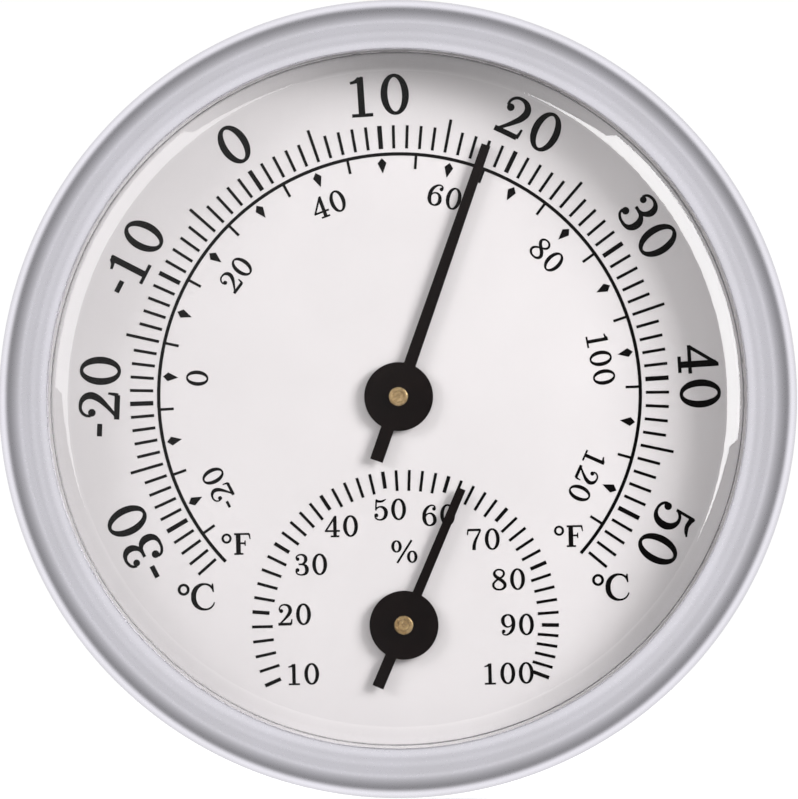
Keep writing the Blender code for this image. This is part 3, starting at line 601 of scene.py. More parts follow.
sixStroke = [
    (0.615, 0.835, 0.024), (0.57, 0.925, 0.027), (0.47, 0.968, 0.030), (0.37, 0.950, 0.036),
    (0.23, 0.850, 0.058), (0.12, 0.680, 0.072), (0.082, 0.46, 0.078), (0.11, 0.24, 0.075),
    (0.20, 0.085, 0.050), (0.335, 0.032, 0.032), (0.47, 0.075, 0.050), (0.565, 0.19, 0.070),
    (0.578, 0.31, 0.076), (0.535, 0.47, 0.062), (0.43, 0.575, 0.040), (0.32, 0.592, 0.030),
    (0.20, 0.54, 0.027), (0.125, 0.43, 0.027),
]
figures = {
    "0": {"width": 0.68, "loops": [ringStroke((0.34, 0.5), 0.68, 1.0, 0.155, 0.07)]},
    "1": {"width": 0.545, "strokes": [
        [(0.2725, 0.01, 0.0725), (0.2725, 0.975, 0.0725)],
        [(0.022, 0.842, 0.026), (0.14, 0.868, 0.036), (0.26, 0.925, 0.064)],
        [(0.29, 0.90, 0.055), (0.322, 0.985, 0.024)],
        [(0.025, 0.035, 0.035), (0.545, 0.035, 0.035)],
    ]},
    "2": {"width": 0.65, "balls": [(0.146, 0.675, 0.095)], "strokes": [
        [(0.062, 0.70, 0.026), (0.072, 0.82, 0.028), (0.17, 0.935, 0.031), (0.325, 0.965, 0.035),
         (0.485, 0.900, 0.060), (0.567, 0.745, 0.078), (0.52, 0.560, 0.074), (0.38, 0.375, 0.054),
         (0.20, 0.19, 0.036), (0.06, 0.06, 0.030)],
        [(0.0, 0.060, 0.060), (0.60, 0.060, 0.060)],
        [(0.595, 0.04, 0.040), (0.622, 0.17, 0.030), (0.636, 0.29, 0.020)],
    ]},
    "3": {"width": 0.63, "balls": [(0.12, 0.766, 0.085), (0.10, 0.254, 0.095)], "strokes": [
        [(0.045, 0.79, 0.024), (0.085, 0.90, 0.027), (0.19, 0.962, 0.030), (0.31, 0.970, 0.034),
         (0.44, 0.905, 0.058), (0.498, 0.765, 0.075), (0.45, 0.62, 0.058), (0.34, 0.535, 0.036),
         (0.16, 0.520, 0.033)],
        [(0.27, 0.520, 0.033), (0.40, 0.500, 0.042), (0.505, 0.410, 0.070), (0.545, 0.27, 0.082),
         (0.50, 0.115, 0.066), (0.40, 0.045, 0.042), (0.29, 0.030, 0.030), (0.16, 0.050, 0.028),
         (0.06, 0.120, 0.027), (0.030, 0.22, 0.025)],
    ]},
    "4": {"width": 0.70, "strokes": [
        [(0.50, 0.975, 0.036), (0.035, 0.285, 0.035)],
        [(0.0, 0.287, 0.0375), (0.70, 0.287, 0.0375)],
        [(0.4725, 0.01, 0.0725), (0.4725, 0.93, 0.0725)],
        [(0.500, 0.88, 0.045), (0.520, 0.995, 0.025)],
        [(0.265, 0.035, 0.035), (0.67, 0.035, 0.035)],
    ]},
    "5": {"width": 0.61, "balls": [(0.09, 0.24, 0.095)], "strokes": [
        [(0.100, 0.97, 0.030), (0.075, 0.47, 0.030)],
        [(0.075, 0.925, 0.070), (0.20, 0.892, 0.052), (0.33, 0.885, 0.045), (0.45, 0.925, 0.036),
         (0.555, 0.992, 0.012)],
        [(0.062, 0.49, 0.028), (0.14, 0.585, 0.030), (0.28, 0.638, 0.034), (0.43, 0.590, 0.060),
         (0.525, 0.47, 0.078), (0.545, 0.33, 0.082), (0.50, 0.17, 0.070), (0.40, 0.065, 0.048),
         (0.27, 0.030, 0.031), (0.14, 0.055, 0.028), (0.05, 0.13, 0.027), (0.024, 0.21, 0.025)],
    ]},
    "6": {"width": 0.66, "balls": [(0.55, 0.80, 0.088)], "strokes": [sixStroke]},
    "7": {"width": 0.65, "strokes": [
        [(0.03, 0.945, 0.050), (0.64, 0.945, 0.050)],
        [(0.045, 0.95, 0.034), (0.015, 0.71, 0.020)],
        [(0.625, 0.94, 0.032), (0.51, 0.70, 0.042), (0.38, 0.44, 0.058), (0.318, 0.20, 0.074),
         (0.310, 0.01, 0.076)],
    ]},
    "8": {"width": 0.67, "loops": [[
        (0.335, 0.535, 0.070), (0.16, 0.675, 0.068), (0.110, 0.79, 0.056), (0.18, 0.918, 0.040),
        (0.335, 0.965, 0.034), (0.49, 0.915, 0.040), (0.560, 0.78, 0.046), (0.50, 0.65, 0.042),
        (0.335, 0.545, 0.036), (0.13, 0.40, 0.042), (0.052, 0.25, 0.050), (0.13, 0.095, 0.046),
        (0.335, 0.032, 0.036), (0.53, 0.095, 0.050), (0.600, 0.235, 0.068), (0.53, 0.38, 0.072),
    ]]},
    "9": {"width": 0.66, "balls": [(0.11, 0.20, 0.088)],
          "strokes": [[(0.66 - x, 1 - y, half) for x, y, half in sixStroke]]},
    "-": {"width": 0.31, "strokes": [[(0.0, 0.47, 0.055), (0.31, 0.47, 0.055)]]},
    "%": {"width": 1.135, "strokes": [[(0.24, 0.0, 0.040), (0.90, 1.0, 0.040)]], "loops": [
        ringStroke((0.225, 0.735), 0.45, 0.53, 0.12, 0.05),
        ringStroke((0.910, 0.265), 0.45, 0.53, 0.12, 0.05),
    ]},
    "C": {"width": 0.88, "strokes": [
        [(0.795, 0.80, 0.026), (0.70, 0.91, 0.034), (0.50, 0.972, 0.032), (0.28, 0.90, 0.060),
         (0.130, 0.72, 0.083), (0.088, 0.50, 0.088), (0.130, 0.28, 0.083), (0.28, 0.10, 0.060),
         (0.50, 0.028, 0.034), (0.69, 0.070, 0.027), (0.81, 0.18, 0.022), (0.860, 0.29, 0.017)],
        [(0.805, 0.985, 0.018), (0.795, 0.85, 0.036), (0.830, 0.67, 0.018)],
    ]},
    "F": {"width": 0.81, "strokes": [
        [(0.24, 0.01, 0.10), (0.24, 0.98, 0.10)],
        [(0.05, 0.962, 0.038), (0.76, 0.962, 0.038)],
        [(0.745, 0.97, 0.036), (0.795, 0.72, 0.018)],
        [(0.24, 0.53, 0.034), (0.56, 0.53, 0.034)],
        [(0.565, 0.66, 0.016), (0.550, 0.53, 0.030), (0.565, 0.40, 0.016)],
        [(0.04, 0.035, 0.035), (0.47, 0.035, 0.035)],
    ]},
    "o": {"width": 1.0, "loops": [ringStroke((0.5, 0.5), 1.0, 1.0, 0.225, 0.205)]},
}
gaps = {"1": 0.22, "2": 0.195, "3": 0.175, "4": 0.163, "5": 0.188, "-": 0.12}
usualGap = 0.18
# how far the ink spreads past the drawn edge, in heights of the figure
inkSpread = 0.008
inkThickness = 0.04
inkBase = dial["front"] + 0.004


def drawFigure(figure):
    # flattened tubes of varying width, plus the round ends
    curve = bpy.data.curves.new("strokes", "CURVE")
    curve.dimensions = "3D"
    curve.bevel_depth = 1.0
    curve.bevel_resolution = 2
    curve.use_fill_caps = True
    curve.twist_mode = "Z_UP"
    curve.resolution_u = 4
    runs = [(run, False) for run in figure.get("strokes", [])]
    runs += [(run, True) for run in figure.get("loops", [])]
    for run, closed in runs:
        spline = curve.splines.new("BEZIER")
        spline.radius_interpolation = "CARDINAL"
        spline.bezier_points.add(len(run) - 1)
        for point, (across, up, half) in zip(spline.bezier_points, run):
            point.co = (across, up, 0.0)
            point.radius = half + inkSpread
            point.handle_left_type = point.handle_right_type = "AUTO"
        spline.use_cyclic_u = closed
    shape = fromCurve(curve)
    for across, up, radius in figure.get("balls", []):
        ball = bmesh.ops.create_uvsphere(shape, u_segments=18, v_segments=8, radius=radius)
        bmesh.ops.translate(shape, verts=ball["verts"], vec=(across, up, 0.0))
    tallest = max(v.co.z for v in shape.verts)
    bmesh.ops.scale(shape, verts=shape.verts, vec=(1.0, 1.0, 0.5 / tallest))
    mesh = bpy.data.meshes.new("figure")
    shape.to_mesh(mesh)
    shape.free()
    return mesh


figureMeshes = {mark: drawFigure(figure) for mark, figure in figures.items()}


def inkPlace(centre, angle, radius=0.0):
    # a place in the printed layer, "radius" out from the centre at a clockwise angle
    place = Matrix.Translation((*centre, inkBase + inkThickness / 2))
    place @= Matrix.Rotation(-math.radians(angle), 4, "Z")
    return place @ Matrix.Translation((0.0, radius, 0.0))


def addText(shape, text, height, centre, turn=0.0):
    # writes text centred on a point of the dial, turned clockwise by "turn" degrees
    widths = [figures[mark]["width"] for mark in text]
    spaces = [gaps.get(mark, usualGap) for mark in text[:-1]]
    across = -(sum(widths) + sum(spaces)) / 2
    place = inkPlace(centre, turn) @ Matrix.Diagonal((height, height, inkThickness, 1.0))
    for mark, width, space in zip(text, widths, spaces + [0.0]):
        before = len(shape.verts)
        shape.from_mesh(figureMeshes[mark])
        shape.verts.ensure_lookup_table()
        bmesh.ops.transform(
            shape, matrix=place @ Matrix.Translation((across, -0.5, 0.0)), verts=shape.verts[before:]
        )
        across += width + space


def addTick(shape, centre, angle, inner, outer, width):
    # a radial mark at a clockwise angle from straight up
    tick = bmesh.ops.create_cube(shape, size=1.0)["verts"]
    place = inkPlace(centre, angle, (inner + outer) / 2)
    place @= Matrix.Diagonal((width, outer - inner, inkThickness, 1.0))
    bmesh.ops.transform(shape, matrix=place, verts=tick)


def onScale(centre, radius, angle, along=0.0):
    turn = math.radians(angle)
    return (
        centre[0] + radius * math.sin(turn) + along * math.cos(turn),
        centre[1] + radius * math.cos(turn) - along * math.sin(turn),
    )


temperatureScale = {
    "centre": (0.08, axisHeights["temperature"] + 0.33), "arcRadius": 39.4, "arcWidth": 0.55,
    "arcEnd": 132.5, "zeroAngle": -32.47, "perDegree": 2.939, "perDegreeSquared": 0.00166,
}
celsius = {
    "low": -34, "high": 54, "inner": 40.3, "outer": 44.1, "fifthOuter": 45.8, "width": 0.48,
    "boldWidth": 0.74, "numeralRadius": 49.1, "numeralHeight": 6.65,
    # numeral, its own angle on the dial and how far it leans past the radius
    "numerals": [
        ("-30", -118.3, 2.3), ("-20", -89.0, 2.3), ("-10", -61.45, 0.0), ("0", -32.1, 0.0),
        ("10", -2.5, 0.0), ("20", 27.2, 0.0), ("30", 57.4, 0.0), ("40", 87.8, 0.0),
        ("50", 119.1, 0.0),
    ],
    "unitSpread": 33.9, "unitHeight": -31.5, "letterHeight": 4.4, "ringSize": 1.93,
    "letterGap": 0.25,
}


def temperatureAngle(degrees):
    law = temperatureScale
    return law["zeroAngle"] + law["perDegree"] * degrees + law["perDegreeSquared"] * degrees ** 2


def addUnits(shape, letter, look):
    # a degree ring and its letter, centred together, on each side of the dial
    letterHeight, ringSize, gap = look["letterHeight"], look["ringSize"], look["letterGap"]
    width = figures[letter]["width"] * letterHeight
    ringUp = look["unitHeight"] + letterHeight / 2 - ringSize / 2
    for side in (-1, 1):
        left = side * look["unitSpread"] - (width + gap + ringSize) / 2
        addText(shape, "o", ringSize, (left + ringSize / 2, ringUp))
        middle = left + ringSize + gap + width / 2
        addText(shape, letter, letterHeight, (middle, look["unitHeight"]))


def makeCelsiusScale():
    law = temperatureScale
    half = law["arcWidth"] / 2
    shape = swept(
        inkBase, inkBase + inkThickness, law["arcRadius"] - half, law["arcRadius"] + half,
        90 - law["arcEnd"], 90 + law["arcEnd"], 176,
    )
    bmesh.ops.translate(shape, verts=shape.verts, vec=(*law["centre"], 0.0))
    for degrees in range(celsius["low"], celsius["high"] + 1):
        bold = degrees % 10 == 0
        fifth = degrees % 5 == 0 and not bold
        outer = celsius["fifthOuter"] if fifth else celsius["outer"]
        width = celsius["boldWidth"] if bold else celsius["width"]
        addTick(shape, law["centre"], temperatureAngle(degrees), celsius["inner"], outer, width)
    for text, angle, lean in celsius["numerals"]:
        centre = onScale(law["centre"], celsius["numeralRadius"], angle)
        addText(shape, text, celsius["numeralHeight"], centre, angle + lean)
    addUnits(shape, "C", celsius)
    return shape


finishPiece("celsius_print", makeCelsiusScale(), finishes["ink"], "case")
print("celsius scale printed")


fahrenheit = {
    "low": -25, "high": 125, "kiteInner": 36.3, "kiteOuter": 38.8, "kiteWidth": 1.45,
    "kiteShoulder": 0.8, "tickInner": 37.0, "tickWidth": 0.44, "numeralRadius": 33.2,
    "numeralHeight": 3.6,
    # numeral and how far it stands off its mark along the scale
    "numerals": [
        (-20, -0.1), (0, 0.15), (20, -0.1), (40, 0.2), (60, 0.35), (80, 0.55), (100, 0.3), (120, -0.1),
    ],
    "farNumerals": 0.25, "unitSpread": 27.2, "unitHeight": -23.0, "letterHeight": 3.5,
    "ringSize": 1.64, "letterGap": 0.25,
}


def fahrenheitAngle(degrees):
    return temperatureAngle((degrees - 32) / 1.8)


def addKite(shape, centre, angle, look):
    # a four-sided mark, long towards the dial's centre and blunt outside
    kite = bmesh.ops.create_cone(
        shape, cap_ends=True, segments=4, radius1=1.0, radius2=1.0, depth=1.0
    )["verts"]
    blunt = look["kiteShoulder"]
    long = look["kiteOuter"] - look["kiteInner"] - blunt
    for vert in kite:
        vert.co.x *= look["kiteWidth"] / 2
        vert.co.y *= blunt if vert.co.y > 0 else long
    place = inkPlace(centre, angle, look["kiteOuter"] - blunt)
    place @= Matrix.Diagonal((1.0, 1.0, inkThickness, 1.0))
    bmesh.ops.transform(shape, matrix=place, verts=kite)


def makeFahrenheitScale():
    shape = bmesh.new()
    centre = temperatureScale["centre"]
    for degrees in range(fahrenheit["low"], fahrenheit["high"] + 1, 5):
        angle = fahrenheitAngle(degrees)
        if degrees % 10 == 0:
            addKite(shape, centre, angle, fahrenheit)
        else:
            outer = temperatureScale["arcRadius"]
            addTick(shape, centre, angle, fahrenheit["tickInner"], outer, fahrenheit["tickWidth"])
    for degrees, along in fahrenheit["numerals"]:
        angle = fahrenheitAngle(degrees)
        radius = fahrenheit["numeralRadius"] + (fahrenheit["farNumerals"] if degrees >= 100 else 0)
        place = onScale(centre, radius, angle, along)
        addText(shape, str(degrees), fahrenheit["numeralHeight"], place, angle)
    addUnits(shape, "F", fahrenheit)
    return shape


finishPiece("fahrenheit_print", makeFahrenheitScale(), finishes["ink"], "case")
print("fahrenheit scale printed")


humidity = {
    "centre": (0.2, axisHeights["humidity"] + 0.26), "inner": 21.7, "outer": 25.1, "width": 0.47,
    "boldInner": 22.3, "boldWidth": 0.6, "startAngle": -112.6,
    # degrees of turn from each ten per cent to the next
    "decades": [28.3, 27.1, 25.0, 25.0, 25.0, 25.0, 25.0, 24.1, 20.1],
    "numeralHeight": 3.5,
    "numerals": [
        ("10", (-16.66, -44.51)), ("20", (-17.92, -34.74)), ("30", (-15.01, -26.64)),
        ("40", (-9.92, -20.50)), ("50", (-1.88, -17.95)), ("60", (6.04, -19.06)),
        ("70", (13.26, -23.18)), ("80", (17.20, -29.82)), ("90", (18.50, -37.25)),
        ("100", (16.90, -45.16)),
    ],
    "percent": (0.30, -24.88), "percentHeight": 3.7,
}


def makeHumidityScale():
    shape = bmesh.new()
    angle = humidity["startAngle"]
    for index, decade in enumerate(humidity["decades"] + [0.0]):
        addTick(
            shape, humidity["centre"], angle, humidity["boldInner"], humidity["outer"],
            humidity["boldWidth"],
        )
        if decade:
            for step in range(1, 5):
                addTick(
                    shape, humidity["centre"], angle + decade * step / 5, humidity["inner"],
                    humidity["outer"], humidity["width"],
                )
        angle += decade
    for text, place in humidity["numerals"]:
        addText(shape, text, humidity["numeralHeight"], place)
    addText(shape, "%", humidity["percentHeight"], humidity["percent"])
    return shape


finishPiece("humidity_print", makeHumidityScale(), finishes["ink"], "case")
print("humidity scale printed")


pointers = {
    "temperature": {
        "hub": 5.63, "reach": 43.55, "root": 1.0, "tip": 0.76, "tail": 11.1, "tailHalf": 1.09,
        "rest": 20.5,
    },
    "humidity": {
        "hub": 5.63, "reach": 24.2, "root": 0.8, "tip": 0.72, "tail": 11.0, "tailHalf": 0.96,
        "rest": 24.2,
    },
}
pointerStack = {"edge": 0.09, "hole": 1.4}
boss = {
    "radius": 1.6, "stem": 1.1, "bore": 0.75, "faceWall": 0.4, "edge": 0.3, "edgeSteps": 5,
    "dishRadius": 0.88, "dishDepth": 0.2, "dishRise": 0.03, "dishRim": 0.1, "rimDrop": 0.02,
    "rimWidth": 0.16, "markRadius": 0.3, "markDepth": 0.15, "markFloor": 0.7,
    "collarGap": 0.3, "collarBreak": 0.1,
}


def onPointer(shape, name):
    # turns a piece drawn pointing straight up to its rest reading, about its own arbor
    bmesh.ops.rotate(
        shape, verts=shape.verts, matrix=Matrix.Rotation(-math.radians(pointers[name]["rest"]), 3, "Z")
    )
    bmesh.ops.translate(shape, verts=shape.verts, vec=(0.0, axisHeights[name], 0.0))
    return shape


def makePointer(name):
    look = pointers[name]
    span = spanOf(f"{name}_pointer")
    rootAngle = math.degrees(math.asin(look["root"] / look["hub"]))
    tailAngle = math.degrees(math.asin(look["tailHalf"] / look["hub"]))
    right = arc((0.0, 0.0), look["hub"], 90 - rootAngle, -90 + tailAngle, 40)
    left = arc((0.0, 0.0), look["hub"], -90 - tailAngle, -270 + rootAngle, 40)
    edge = [(-look["tip"], look["reach"]), (look["tip"], look["reach"]), *right]
    edge += [(look["tailHalf"], -look["tail"]), (-look["tailHalf"], -look["tail"]), *left]
    hole = circle((0.0, 0.0), pointerStack["hole"], 32)
    return onPointer(plate([edge, hole], span["back"], span["front"], pointerStack["edge"]), name)


def makeBoss(name):
    span = spanOf(f"{name}_pointer_boss")
    collarBack = spanOf(f"{name}_pointer")["front"] + boss["collarGap"]
    front, radius, edge = span["front"], boss["radius"], boss["edge"]
    dish = front - boss["dishDepth"]
    markBack, collarBreak = dish - boss["markDepth"], boss["collarBreak"]
    profile = [
        (0.0, markBack), (boss["markRadius"] * boss["markFloor"], markBack),
        (boss["markRadius"], dish), (boss["dishRadius"], dish + boss["dishRise"]),
        (boss["dishRadius"] + boss["dishRim"], front - boss["rimDrop"]),
        (boss["dishRadius"] + boss["rimWidth"], front),
    ]
    profile += arc((radius - edge, front - edge), edge, 90, 0, boss["edgeSteps"])
    profile += [
        (radius, collarBack + collarBreak), (radius - collarBreak, collarBack),
        (boss["stem"], collarBack), (boss["stem"], span["back"]), (boss["bore"], span["back"]),
        (boss["bore"], front - boss["faceWall"]), (0.0, front - boss["faceWall"]),
    ]
    return onPointer(turned(profile, ring=False, steps=64), name)


turnedBrass = {
    "dark": "#A5885C", "light": "#CCB388", "smooth": 0.16, "rough": 0.3, "metallic": 1.0,
    "pitch": 0.12, "waver": 0.2, "grain": 0.1, "mottle": 1.2, "relief": 0.002,
}
for name in pointers:
    body = f"{name}_hand"
    finishPiece(
        f"{name}_pointer_plate", makePointer(name), finishes["pointer"], body,
        [f"{name}_pointer"],
    )
    # turned brass: fine tool rings about the arbor, bright where they catch the lamp
    bossFinish = makeSpunFinish(f"turned_brass_{name}", turnedBrass, axisHeights[name])
    finishPiece(f"{name}_boss", makeBoss(name), bossFinish, body, [f"{name}_pointer_boss"])
print("pointers made")


coverSpan = spanOf("rear_cover")
legSpan = spanOf("desk_leg")
pinSpan = spanOf("leg_hinge_pin")
cover = {
    "floor": 1.8, "innerRadius": 56.2, "spigotRadius": 58.3, "flangeRadius": coverSpan["radius"],
    "flangeTop": 6.4, "flangeBottom": 4.6, "edgeRadius": 2.0, "spigotTop": coverSpan["front"],
    "cutPast": 1.0, "edgeBreak": 0.14,
    "keyholeHeight": 36.0, "keyholeHead": 4.5, "keyholeSlot": 5.0, "keyholeTop": 44.5,
    "ventWidth": 2.0, "ventPitch": 5.0, "ventMargin": 4.0,
    "vents": [(20.0, 4.0, 30.0), (15.5, axisHeights["humidity"], 16.0)],
    "trayWidth": 24.0, "trayWall": 1.4, "sideGap": 0.4, "blockWall": 2.4,
    "notchSpread": 6.6, "notchRise": 5.6, "notchRadius": 3.5, "notchSill": 0.25,
    "barrelPlay": 0.5, "pocketPlay": 0.3, "boreEnd": 0.3, "holeRadius": 1.15,
}
leg = {
    "hinge": pinSpan["middle"], "tip": legSpan["bottom"], "thickness": 2.0, "back": 0.3,
    "rootWidth": 15.4, "tipWidth": 9.2, "tipRound": 1.8, "barrel": 1.9,
    "axisDepth": (pinSpan["front"] + pinSpan["back"]) / 2, "bore": 1.05, "edge": 0.3,
    "gripCount": 5, "gripStart": 2.4, "gripPitch": 1.1, "gripRadius": 0.28, "gripLength": 5.4,
}


def legOutline(margin):
    root, tip = leg["rootWidth"] / 2 + margin, leg["tipWidth"] / 2 + margin
    bottom, corner = leg["tip"] - margin, leg["tipRound"]
    right = arc((tip - corner, bottom + corner), corner, -90, 0, 8)
    left = arc((-tip + corner, bottom + corner), corner, 180, 270, 8)
    return [(-root, leg["hinge"]), *left, *right, (root, leg["hinge"])]


def capsule(centre, width, length):
    half, reach = width / 2, (length - width) / 2
    top = arc((centre[0], centre[1] + reach), half, 0, 180, 10)
    return top + arc((centre[0], centre[1] - reach), half, 180, 360, 10)


def ventOutlines():
    outlines = []
    field = cover["innerRadius"] - cover["ventMargin"]
    for across, height, length in cover["vents"]:
        while math.hypot(across + cover["ventWidth"] / 2, abs(height) + length / 2) < field:
            for side in (-1, 1):
                outlines.append(capsule((side * across, height), cover["ventWidth"], length))
            across += cover["ventPitch"]
    return outlines


def keyholeOutline():
    half = cover["keyholeSlot"] / 2
    spread = math.degrees(math.asin(half / cover["keyholeHead"]))
    head = arc((0.0, cover["keyholeHeight"]), cover["keyholeHead"], 90 + spread, 450 - spread, 36)
    return head + arc((0.0, cover["keyholeTop"]), half, 0, 180, 12)


def makeRearCover():
    edge = (cover["spigotRadius"] - cover["edgeRadius"], cover["edgeRadius"])
    profile = [
        (0.0, cover["floor"]), (cover["innerRadius"], cover["floor"]),
        (cover["innerRadius"], cover["spigotTop"]), (cover["spigotRadius"], cover["spigotTop"]),
        (cover["spigotRadius"], cover["flangeTop"]), (cover["flangeRadius"], cover["flangeTop"]),
        (cover["flangeRadius"], cover["flangeBottom"]), (cover["spigotRadius"], cover["flangeBottom"]),
        *arc(edge, cover["edgeRadius"], 0, -90, 10), (0.0, 0.0),
    ]
    shell = turned(profile, ring=False, steps=144)
    past, base = cover["cutPast"], cover["floor"] / 2
    legFront = leg["back"] + leg["thickness"]
    pocketDepth = legFront + cover["pocketPlay"]
    trayTop, trayLow = pocketDepth + cover["trayWall"], leg["tip"] - cover["trayWall"]
    tray = block(
        (cover["trayWidth"], leg["hinge"] - trayLow, trayTop - base),
        (0.0, (leg["hinge"] + trayLow) / 2, (trayTop + base) / 2),
    )
    shell = carved(shell, tray, "UNION")
    deepDepth = leg["axisDepth"] + leg["barrel"] + cover["pocketPlay"]
    pocketHalf = leg["barrel"] + cover["barrelPlay"]
    blockTop = deepDepth + cover["trayWall"]
    blockWidth = leg["rootWidth"] + 2 * (cover["sideGap"] + cover["blockWall"])
    hingeBlock = block(
        (blockWidth, 2 * (pocketHalf + cover["trayWall"]), blockTop - base),
        (0.0, leg["hinge"], (blockTop + base) / 2),
    )
    shell = carved(shell, hingeBlock, "UNION")
    shell = carved(shell, plate([legOutline(cover["sideGap"])], -past, pocketDepth))
    deepPocket = block(
        (leg["rootWidth"] + 2 * cover["sideGap"], 2 * pocketHalf, deepDepth + past),
        (0.0, leg["hinge"], (deepDepth - past) / 2),
    )
    shell = carved(shell, deepPocket)
    boreLeft, boreRight = pinSpan["left"] - cover["boreEnd"], cover["trayWidth"] / 2 + past
    boreCentre = ((boreLeft + boreRight) / 2, leg["hinge"], leg["axisDepth"])
    shell = carved(shell, bar(leg["bore"], boreRight - boreLeft, boreCentre))
    for side in (-1, 1):
        centre = (side * cover["notchSpread"], leg["tip"] + cover["notchRise"])
        notch = circle(centre, cover["notchRadius"], 40)
        shell = carved(shell, plate([notch], -past, pocketDepth - cover["notchSill"]))
    shell = carved(shell, plate([keyholeOutline()], -past, cover["floor"] + past))
    shell = carved(shell, plate(ventOutlines(), -past, cover["floor"] + past))
    holes = [circle(place, cover["holeRadius"], 24) for place in screwPlaces]
    shell = carved(shell, plate(holes, cover["flangeBottom"] - past, cover["flangeTop"] + past))
    return softened(shell, cover["edgeBreak"])


finishPiece("back_cover", makeRearCover(), finishes["cover"], "case", ["rear_cover"])
print("rear cover made")


def makeDeskLeg():
    shape = plate([legOutline(0.0)], leg["back"], leg["back"] + leg["thickness"], leg["edge"], 3)
    centre = (0.0, leg["hinge"], leg["axisDepth"])
    shape = carved(shape, bar(leg["barrel"], leg["rootWidth"], centre, 48), "UNION")
    shape = carved(shape, bar(leg["bore"], leg["rootWidth"] + 2 * cover["cutPast"], centre))
    # finger grooves across the free end
    for index in range(leg["gripCount"]):
        up = leg["tip"] + leg["gripStart"] + index * leg["gripPitch"]
        groove = bar(leg["gripRadius"], leg["gripLength"], (0.0, up, leg["back"]), 16)
        shape = carved(shape, groove)
    return shape


finishPiece("folding_leg", makeDeskLeg(), finishes["cover"], "leg", ["desk_leg"])
print("desk leg made")


# pan heads with a cross recess
screw = {
    "head": 1.8, "headHeight": 1.3, "rimHeight": 0.5, "rimBreak": 0.12, "domePower": 0.6,
    "domeSteps": 8, "shank": 0.85, "point": 0.6, "pointWidths": (0.4, 0.75), "threadPitch": 0.6,
    "threadDepth": 0.16, "recess": 1.0, "recessWidth": 0.45, "recessDepth": 1.4, "recessTurn": 20,
}


def makeScrew(span, place):
    headBack, tip = span["back"], span["front"]
    headFront = headBack + screw["headHeight"]
    shank, head, root = screw["shank"], screw["head"], screw["shank"] - screw["threadDepth"]
    narrow, wide = screw["pointWidths"]
    depth = tip - screw["point"]
    profile = [(0.0, tip), (shank * narrow, tip), (shank * wide, depth)]
    while depth > headFront + screw["threadPitch"]:
        profile.append((shank, depth - screw["threadPitch"] / 2))
        profile.append((root, depth - screw["threadPitch"]))
        depth -= screw["threadPitch"]
    profile += [(root, headFront), (head - screw["rimBreak"], headFront)]
    profile += [(head, headFront - screw["rimBreak"]), (head, headFront - screw["rimHeight"])]
    steps = screw["domeSteps"]
    for step in range(1, steps + 1):
        turn = math.radians(90 * step / steps)
        profile.append((
            head * math.cos(turn) ** screw["domePower"] if step < steps else 0.0,
            headBack + (screw["headHeight"] - screw["rimHeight"]) * (1 - math.sin(turn)),
        ))
    body = turned(profile, ring=False, steps=40)
    across, width = 2 * screw["recess"], screw["recessWidth"]
    for size in ((across, width), (width, across)):
        slot = block(
            (*size, screw["recessDepth"]), (0.0, 0.0, headBack), math.radians(screw["recessTurn"]),
        )
        body = carved(body, slot)
    bmesh.ops.translate(body, verts=body.verts, vec=(*place, 0.0))
    return body


for number, (span, place) in enumerate(zip(screwSpans, screwPlaces), start=1):
    finishPiece(
        f"pan_head_screw_{number}", makeScrew(span, place), finishes["steel"], "case",
        [f"cover_screw_{number}"],
    )
print("screws made")


# the movement keeps its machined shapes and gets its real finishes
movementFinishes = {
    "leg_hinge_pin": "steel", "temperature_bimetal_coil": "bimetal",
    "humidity_hygroscopic_coil": "hygroscopic",
}
for name in pointers:
    for part in ("washer", "bridge", "adjuster", "arbor"):
        movementFinishes[f"{name}_{part}"] = "steel"
    for part in ("dial_bush", "lock_nut", "rear_bush", "collet"):
        movementFinishes[f"{name}_{part}"] = "brass"
for name, finish in movementFinishes.items():
    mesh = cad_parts[name].data
    mesh.materials.clear()
    mesh.materials.append(finishes[finish])
print("movement finished")


studio = {
    # how bright the tent is from the reader's side (0) round to behind the case (1); the
    # first stops are the small dark opening that the camera looks through
    "tentStrength": 1.15,
    "tent": [
        (0.0, 0.04), (0.0023, 0.04), (0.0031, 0.90), (0.03, 0.61), (0.067, 0.49), (0.153, 0.37),
        (0.258, 0.28), (0.36, 0.20), (0.42, 0.28), (0.50, 0.68), (0.60, 1.0), (0.72, 0.96),
        (0.86, 0.78), (1.0, 0.66),
    ],
    "paperGlow": 1.02,
    "floorSize": 1.6, "floorColour": "#F4F4F4", "floorGlow": 0.5, "floorRough": 0.9,
    "floorDrop": 0.0005,
    # every lamp looks at this point; its bearing is clockwise from straight up and its slant
    # is away from the reader's line of sight
    "aim": (0.0, -0.014, 0.0),
    "keyLights": [
        {"name": "key", "bearing": 68, "slant": 55, "distance": 0.7, "size": (0.3, 0.3),
         "watts": 5.8},
        {"name": "fill", "bearing": 300, "slant": 58, "distance": 0.7, "size": (0.3, 0.3),
         "watts": 2.2},
    ],
    # soft boxes that light the lens alone
    "lensBoxes": [
        {"name": "rightBox", "bearing": 68, "slant": 52, "distance": 0.4, "size": (0.52, 0.36),
         "watts": 7.4},
        {"name": "leftBox", "bearing": 298, "slant": 52, "distance": 0.4, "size": (0.52, 0.30),
         "watts": 2.5},
    ],
    # a small lamp in front of the window, mirrored in the bezel alone
    "crownLamp": {
        "name": "crown", "bearing": 0, "slant": 0, "distance": 0.07, "size": (0.05, 0.05),
        "watts": 0.0042,
    },
}
camera = {
    "azimuth": 1.9, "elevation": -0.95, "roll": 1.35, "distance": 1.6, "frameWidth": 0.13066,
    "sensor": 36.0, "depth": 0.0138, "clip": (0.01, 20.0),
}


